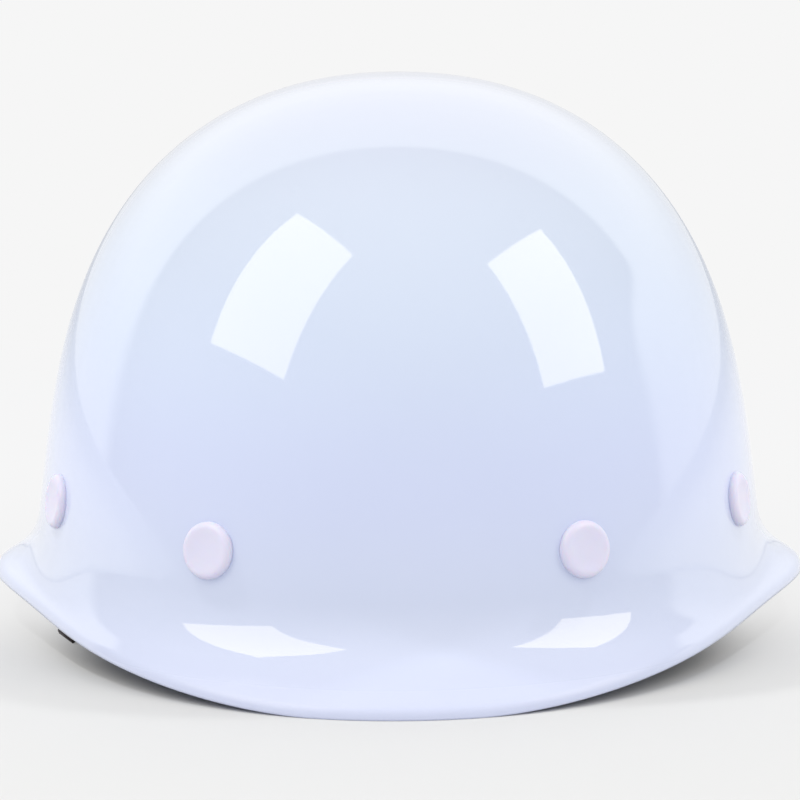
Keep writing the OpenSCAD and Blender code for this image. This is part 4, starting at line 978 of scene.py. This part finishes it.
SIDE_CX, SIDE_CY = BAND_HALF_W - SIDE_R, SIDE_K * SIDE_R + SIDE_M
NAPE_TURN = math.atan2(-SIDE_CX, NAPE_CY - SIDE_CY)
BROW_TURN = math.atan2(-SIDE_CX, SIDE_CY - BROW_CY)


def egg_gap(p, off):
    """Distance of a plan point outside the headband's inner line moved out by off."""
    x, y = abs(p[0]), p[1]
    if math.atan2(x, y - NAPE_CY) < NAPE_TURN:
        return math.hypot(x, y - NAPE_CY) - NAPE_R - off
    if math.atan2(x, BROW_CY - y) < BROW_TURN:
        return math.hypot(x, y - BROW_CY) - BROW_R - off
    return math.hypot(x - SIDE_CX, y - SIDE_CY) - SIDE_R - off


def egg_point(centre, out, off):
    """Where a ray from outside, along -out towards centre, meets the line."""
    p = centre + RAY_FROM * out
    for _ in range(RAY_STEPS):
        p = p - out * egg_gap(p, off)
    return p


PAD_H, PAD_T = 22.0, 3.0
PAD_LOW = BAND_LOW + (BAND_TOP - BAND_LOW - PAD_H) / 2
PAD_ROWS, PAD_PER_DEGREE = 30, 1.8
PAD_TIP, PAD_EDGE = 3.2, 0.16
SEAM_IN, SEAM_W, QUILT_W = 0.11, 0.022, 0.055


def pad_depth(k, v, tip, quilts):
    """Share of the pad's depth at k along and v across it: crowned, with quilting lines and two seams."""
    q = abs(((k * quilts) % 1.0) - 0.5) * 2
    pinch = 1 - 0.30 * math.exp(-((1 - q) / QUILT_W) ** 2) if 0.03 < k < 0.97 else 1.0
    body = (max(0.0, 1 - abs(2 * v - 1) ** 3.2)) ** 0.55
    seams = sum(math.exp(-((v - at) / SEAM_W) ** 2) for at in (SEAM_IN, 1 - SEAM_IN))
    return (PAD_EDGE + (1 - PAD_EDGE) * tip) * body * (1 - 0.34 * seams) * pinch


def pad_mesh(name, centre, start, stop, low, high, deep, quilts, node):
    """Padded strip on the inside of the headband, seen from centre between two turns, in degrees."""
    total = abs(stop - start)
    columns = int(total * PAD_PER_DEGREE)
    verts = []
    for i in range(columns + 1):
        k = i / columns
        a = math.radians(start + (stop - start) * k)
        out = np.array([math.sin(a), math.cos(a)])
        p = egg_point(centre, out, -SOFT_GAP)
        end = min(1.0, min(k, 1 - k) * total / PAD_TIP)
        tip = math.sqrt(max(0.0, 1 - (1 - end) ** 2))
        squeeze = 1.2 * (1 - tip)
        rows = [j / PAD_ROWS for j in range(PAD_ROWS + 1)]
        face = [(v, deep * pad_depth(k, v, tip, quilts)) for v in rows]
        face += [(v, 0.0) for v in rows[::-1]]
        for v, d in face:
            z = low + squeeze + (high - low - 2 * squeeze) * v
            verts.append((p[0] - out[0] * d, p[1] - out[1] * d, z))
    o = add_mesh(name, verts, tube_faces(columns + 1, 2 * (PAD_ROWS + 1)))
    bm = bmesh.new()
    bm.from_mesh(o.data)
    bmesh.ops.remove_doubles(bm, verts=bm.verts, dist=2e-5)
    bmesh.ops.recalc_face_normals(bm, faces=bm.faces)
    bm.to_mesh(o.data)
    bm.free()
    o.data.shade_smooth()
    o.data.materials.append(CLOTH)
    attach(o, "helmet")
    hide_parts(node)


pad_mesh("brow_sweatband", np.array([0, BROW_CY]), 102.0, 258.0, PAD_LOW, PAD_LOW + PAD_H, PAD_T, 13,
         "sweatband")
pad_mesh("nape_cushion", np.array([0, NAPE_CY]), -21.4, 21.4, 7.0, 31.0, 4.0, 3, "nape_pad")


# Rivets
HEAD_R, HEAD_T, TAIL_R, TAIL_T, SHANK_R = 7.25, 1.9, 4.7, 1.5, 3.0
WASHER_T, EAR_LAYER = 1.0, 1.4
EAR_RIVETS = (2, 3, 4, 5)
HEAD_FORM = [(0, -0.42), (2.2, -0.40), (3.8, -0.30), (4.8, -0.13), (5.5, -0.02), (6.0, -0.05), (6.5, -0.24),
             (6.9, -0.58), (7.15, -1.0), (HEAD_R, -1.5)]


def rivet_profile(tail_z):
    """(radius, height) from the middle of the slightly dished head down to that of the formed tail."""
    head = [(r, HEAD_T + z) for r, z in HEAD_FORM] + [(HEAD_R, 0.1), (HEAD_R - 0.15, -0.35)]
    shank = [(SHANK_R + 0.4, -0.35), (SHANK_R, -0.6), (SHANK_R, tail_z + 0.2), (SHANK_R + 0.1, tail_z)]
    tail = [(TAIL_R - 0.3, 0), (TAIL_R, -0.35), (TAIL_R - 0.25, -0.9), (TAIL_R - 0.9, 0.25 - TAIL_T),
            (TAIL_R - 2.0, 0.05 - TAIL_T), (0, -TAIL_T)]
    return head + shank + [(r, tail_z + z) for r, z in tail]


def rivet_material():
    m, t, bsdf, coords = new_material("rivet_plastic")
    soft = t.noise(coords, 80.0, 3.0, 0.5)
    t.feed(bsdf, Base_Color=t.mix(soft, srgb(223, 220, 241), srgb(233, 230, 246)),
           Roughness=t.math("MULTIPLY_ADD", soft, 0.12, 0.24), Subsurface_Weight=0.2, Subsurface_Scale=0.002,
           Normal=t.bump(t.noise(coords, 900.0, 2.0), 0.1, 0.00005))
    return m


def make_rivets():
    verts, faces = [], []
    for i in range(len(RIVET_TURN)):
        tail_z = PLATE_IN_Z - WASHER_T - (EAR_LAYER if i in EAR_RIVETS else 0.0)
        rivet_verts, rivet_faces = lathe(rivet_profile(tail_z), 56)
        base = len(verts)
        verts += [from_rivet(i, p) for p in rivet_verts]
        faces += [tuple(base + k for k in face) for face in rivet_faces]
    o = add_mesh("rivet_heads", verts, faces)
    o.data.materials.append(rivet_material())
    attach(o, "helmet")
    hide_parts("shell_rivets")


make_rivets()


# Ear straps, drawn for the right side and mirrored for the left
EAR_X, EAR_W, EAR_T = 84.2, 15.0, 1.2
PIVOT_Y, PIVOT_Z = 38.0, 11.5
MID_Y, MID_Z = 45.0, 22.0
EAR_MID_X = EAR_X - EAR_T / 2
OUTER_X = EAR_MID_X + 0.1
RIVET_PAD = (-7.5, -4, 0, 4, 8.0)
FRONT_DROP = [(OUTER_X, -MID_Y + 0.5, MID_Z), (OUTER_X, -PIVOT_Y - 1.5, PIVOT_Z + 3),
              (OUTER_X, -PIVOT_Y, PIVOT_Z - 5.0)]
REAR_DROP = [(OUTER_X, MID_Y + 0.6, MID_Z), (OUTER_X, MID_Y, MID_Z - 7.0)]
LOOSE_END = [(EAR_MID_X, -PIVOT_Y, 8.6), (EAR_MID_X, -38.7, 7.2), (EAR_MID_X + 0.6, -39.6, 5.3),
             (EAR_MID_X + 2.4, -41.0, 3.9), (EAR_MID_X + 4.0, -42.4, 2.0), (EAR_MID_X + 4.9, -43.3, 1.0),
             (89.4, -44.4, 0.75)]
EAR_BOX_HALF, EAR_BOX_LOW, EAR_BOX_HIGH = 5.4, -4.6, 0.6


def blend_wide(line, start, end, share=(0.35, 0.75)):
    """Directions across a strap that turn from start to end between two shares of its line."""
    k = np.linspace(0, 1, len(line))
    k = np.clip((k - share[0]) / (share[1] - share[0]), 0, 1)
    k = (k * k * (3 - 2 * k))[:, None]
    return np.array(start) * (1 - k) + np.array(end) * k


def mirrored(points, side):
    p = np.asarray(points, float).copy()
    p[:, 0] *= side
    return p


def make_ear_strap(side, name, node, has_loose_end):
    """Two riveted legs and the straight run between them. side is 1 on the right and -1 on the left."""
    layer = PLATE_IN_Z - 0.1 - EAR_T / 2
    parts = []

    def add(line, wide, w=EAR_W, **form):
        parts.append(web_verts(mirrored(line, side), mirrored(wide, side), w, EAR_T, **form))

    for rivet, drop, end in ((3, FRONT_DROP, (0.0, 0.90, 0.44)), (5, REAR_DROP, (0.0, 1.0, 0.0))):
        pad = [from_rivet(rivet, (x, 0, layer)) for x in RIVET_PAD]
        line = smooth_line(pad + [np.array(p) for p in drop], 1.3, 5)
        add(line, blend_wide(line, rivet_frame(rivet)[:3, 1], end), round_end=True)
    leg_dir = unit(np.array([0, -PIVOT_Y - MID_Y, PIVOT_Z - MID_Z]))
    overrun = leg_dir * EAR_W * 0.48
    a = np.array([EAR_MID_X - 0.06, MID_Y, MID_Z]) - overrun
    b = np.array([EAR_MID_X - 0.06, -PIVOT_Y, PIVOT_Z]) + overrun
    line, _ = resample([a, b], 1.5)
    add(line, np.tile(np.cross(leg_dir, [1, 0, 0]), (len(line), 1)), round_start=True, round_end=True)
    if has_loose_end:
        # it runs on forward and down from the pivot, and its end lies out on the table
        line = smooth_line([np.array(p) for p in LOOSE_END], 0.8, 3)
        add(line, blend_wide(line, (0, 1.0, 0), (0.374, 0.927, 0), (0.38, 0.9)), EAR_W - 0.6, square=False)
    o = web_object(name, parts, CHIN_WEB)
    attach(o, "helmet")
    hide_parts(node)

    normal = np.array([side * 1.0, 0, 0])
    x = side * (OUTER_X + EAR_T / 2 + SEAM_LIFT)
    front, rear = MID_Y - EAR_BOX_HALF, MID_Y + EAR_BOX_HALF
    low, high = MID_Z + EAR_BOX_LOW, MID_Z + EAR_BOX_HIGH
    runs = [(np.array([[x, front, z], [x, rear, z]]), normal) for z in (low, high)]
    runs += [(np.array([[x, y, low], [x, y, high]]), normal) for y in (front, rear)]
    stitches(name + "_stitches", runs, CHIN_THREAD, "helmet")


make_ear_strap(1, "ear_webbing_right", "ear_strap_right", False)
make_ear_strap(-1, "ear_webbing_left", "ear_strap_left", True)


# Chin strap, stowed: a leg on each side and a round bend behind, in the pivots' plane
CHIN_W, CHIN_T, BEND_R, STRAP_REAR, LEG_FROM, EYE_IN = 15.0, 1.4, 50.0, 58.0, 16.0, 8.5
EYE_GAP, EYE_T = 0.2, 2.0
PLUG_FROM, PLUG_L, PLUG_GAP, SOCKET_L = 6.0, 12.0, 0.2, 25.0
WEB_IN_PLUG, WEB_IN_SOCKET = 5.0, 4.0
WEB_X = EAR_X - EAR_T - EYE_GAP - EYE_T / 2 - CHIN_T / 2
CROSS_HALF = 5.2
LEG_START = np.array([WEB_X, LEG_FROM - PIVOT_Y])
BEND_C = np.array([0.0, STRAP_REAR - BEND_R])
LEG_AWAY = np.linalg.norm(BEND_C - LEG_START)
LEG_L = math.sqrt(LEG_AWAY ** 2 - BEND_R ** 2)
LEG_TURN = math.atan2(*(BEND_C - LEG_START)[::-1]) - math.asin(BEND_R / LEG_AWAY)
LEG_DIR = np.array([math.cos(LEG_TURN), math.sin(LEG_TURN)])
LEG_END = LEG_START + LEG_L * LEG_DIR
BEND_TURN = math.atan2(*(LEG_END - BEND_C)[::-1])


def on_leg(u):
    return LEG_START + u * LEG_DIR


def flat_path(points):
    return np.array([[p[0], p[1], PIVOT_Z] for p in points])


def eased_corner(points, at, reach=3.0, steps=8):
    """The points with the one at index at replaced by a small curve."""
    p = [np.asarray(q, float) for q in points]
    a, c = (p[at] + unit(p[to] - p[at]) * reach for to in (at - 1, at + 1))
    curve = bend(a, p[at], c, np.linspace(0, 1, steps)[:, None])
    return p[:at] + list(curve) + p[at + 1:]


def cross_stitches(start, stop, side):
    """A box with both diagonals, on both faces of the webbing, over part of a leg."""
    runs = []
    outward = np.array([-LEG_DIR[1], LEG_DIR[0]])
    for face in (-1, 1):
        normal = np.array([side * outward[0] * face, outward[1] * face, 0])

        def at(u, z):
            p = on_leg(u) + outward * face * (CHIN_T / 2 + SEAM_LIFT)
            return np.array([side * p[0], p[1], PIVOT_Z + z])

        for z in (-CROSS_HALF, CROSS_HALF):
            runs.append((np.array([at(start, z), at(stop, z)]), normal))
        for u in (start, stop):
            runs.append((np.array([at(u, -CROSS_HALF), at(u, CROSS_HALF)]), normal))
        for z in (-CROSS_HALF, CROSS_HALF):
            runs.append((np.array([at(start, z), at(stop, -z)]), normal))
    return runs


def make_chin_half(name, node, points, side):
    line, _ = resample(flat_path(eased_corner(points, 1)), 1.2)
    upright = np.tile(UP, (len(line), 1))
    o = web_object(name, [web_verts(mirrored(line, side), upright, CHIN_W, CHIN_T)], CHIN_WEB)
    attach(o, "chin_strap")
    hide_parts(node)


def make_chin_strap():
    """The short length to the plug, and the long one that runs round behind to the socket."""
    eye = np.array([WEB_X, -PIVOT_Y + EYE_IN])
    short = [eye, LEG_START, on_leg(PLUG_FROM + WEB_IN_PLUG)]
    make_chin_half("chin_webbing_left", "chin_strap_left", short, -1)
    turns = np.linspace(BEND_TURN, math.pi - BEND_TURN, 60)
    arc = [BEND_C + BEND_R * np.array([math.cos(a), math.sin(a)]) for a in turns]
    last = on_leg(PLUG_FROM + PLUG_L + PLUG_GAP + SOCKET_L - WEB_IN_SOCKET) * np.array([-1, 1])
    make_chin_half("chin_webbing_right", "chin_strap_right", [eye, LEG_START] + arc + [last], 1)
    runs = cross_stitches(8.0, 18.0, 1) + cross_stitches(47.0, 56.0, -1)
    stitches("chin_stitches", runs, CHIN_THREAD, "chin_strap")


make_chin_strap()
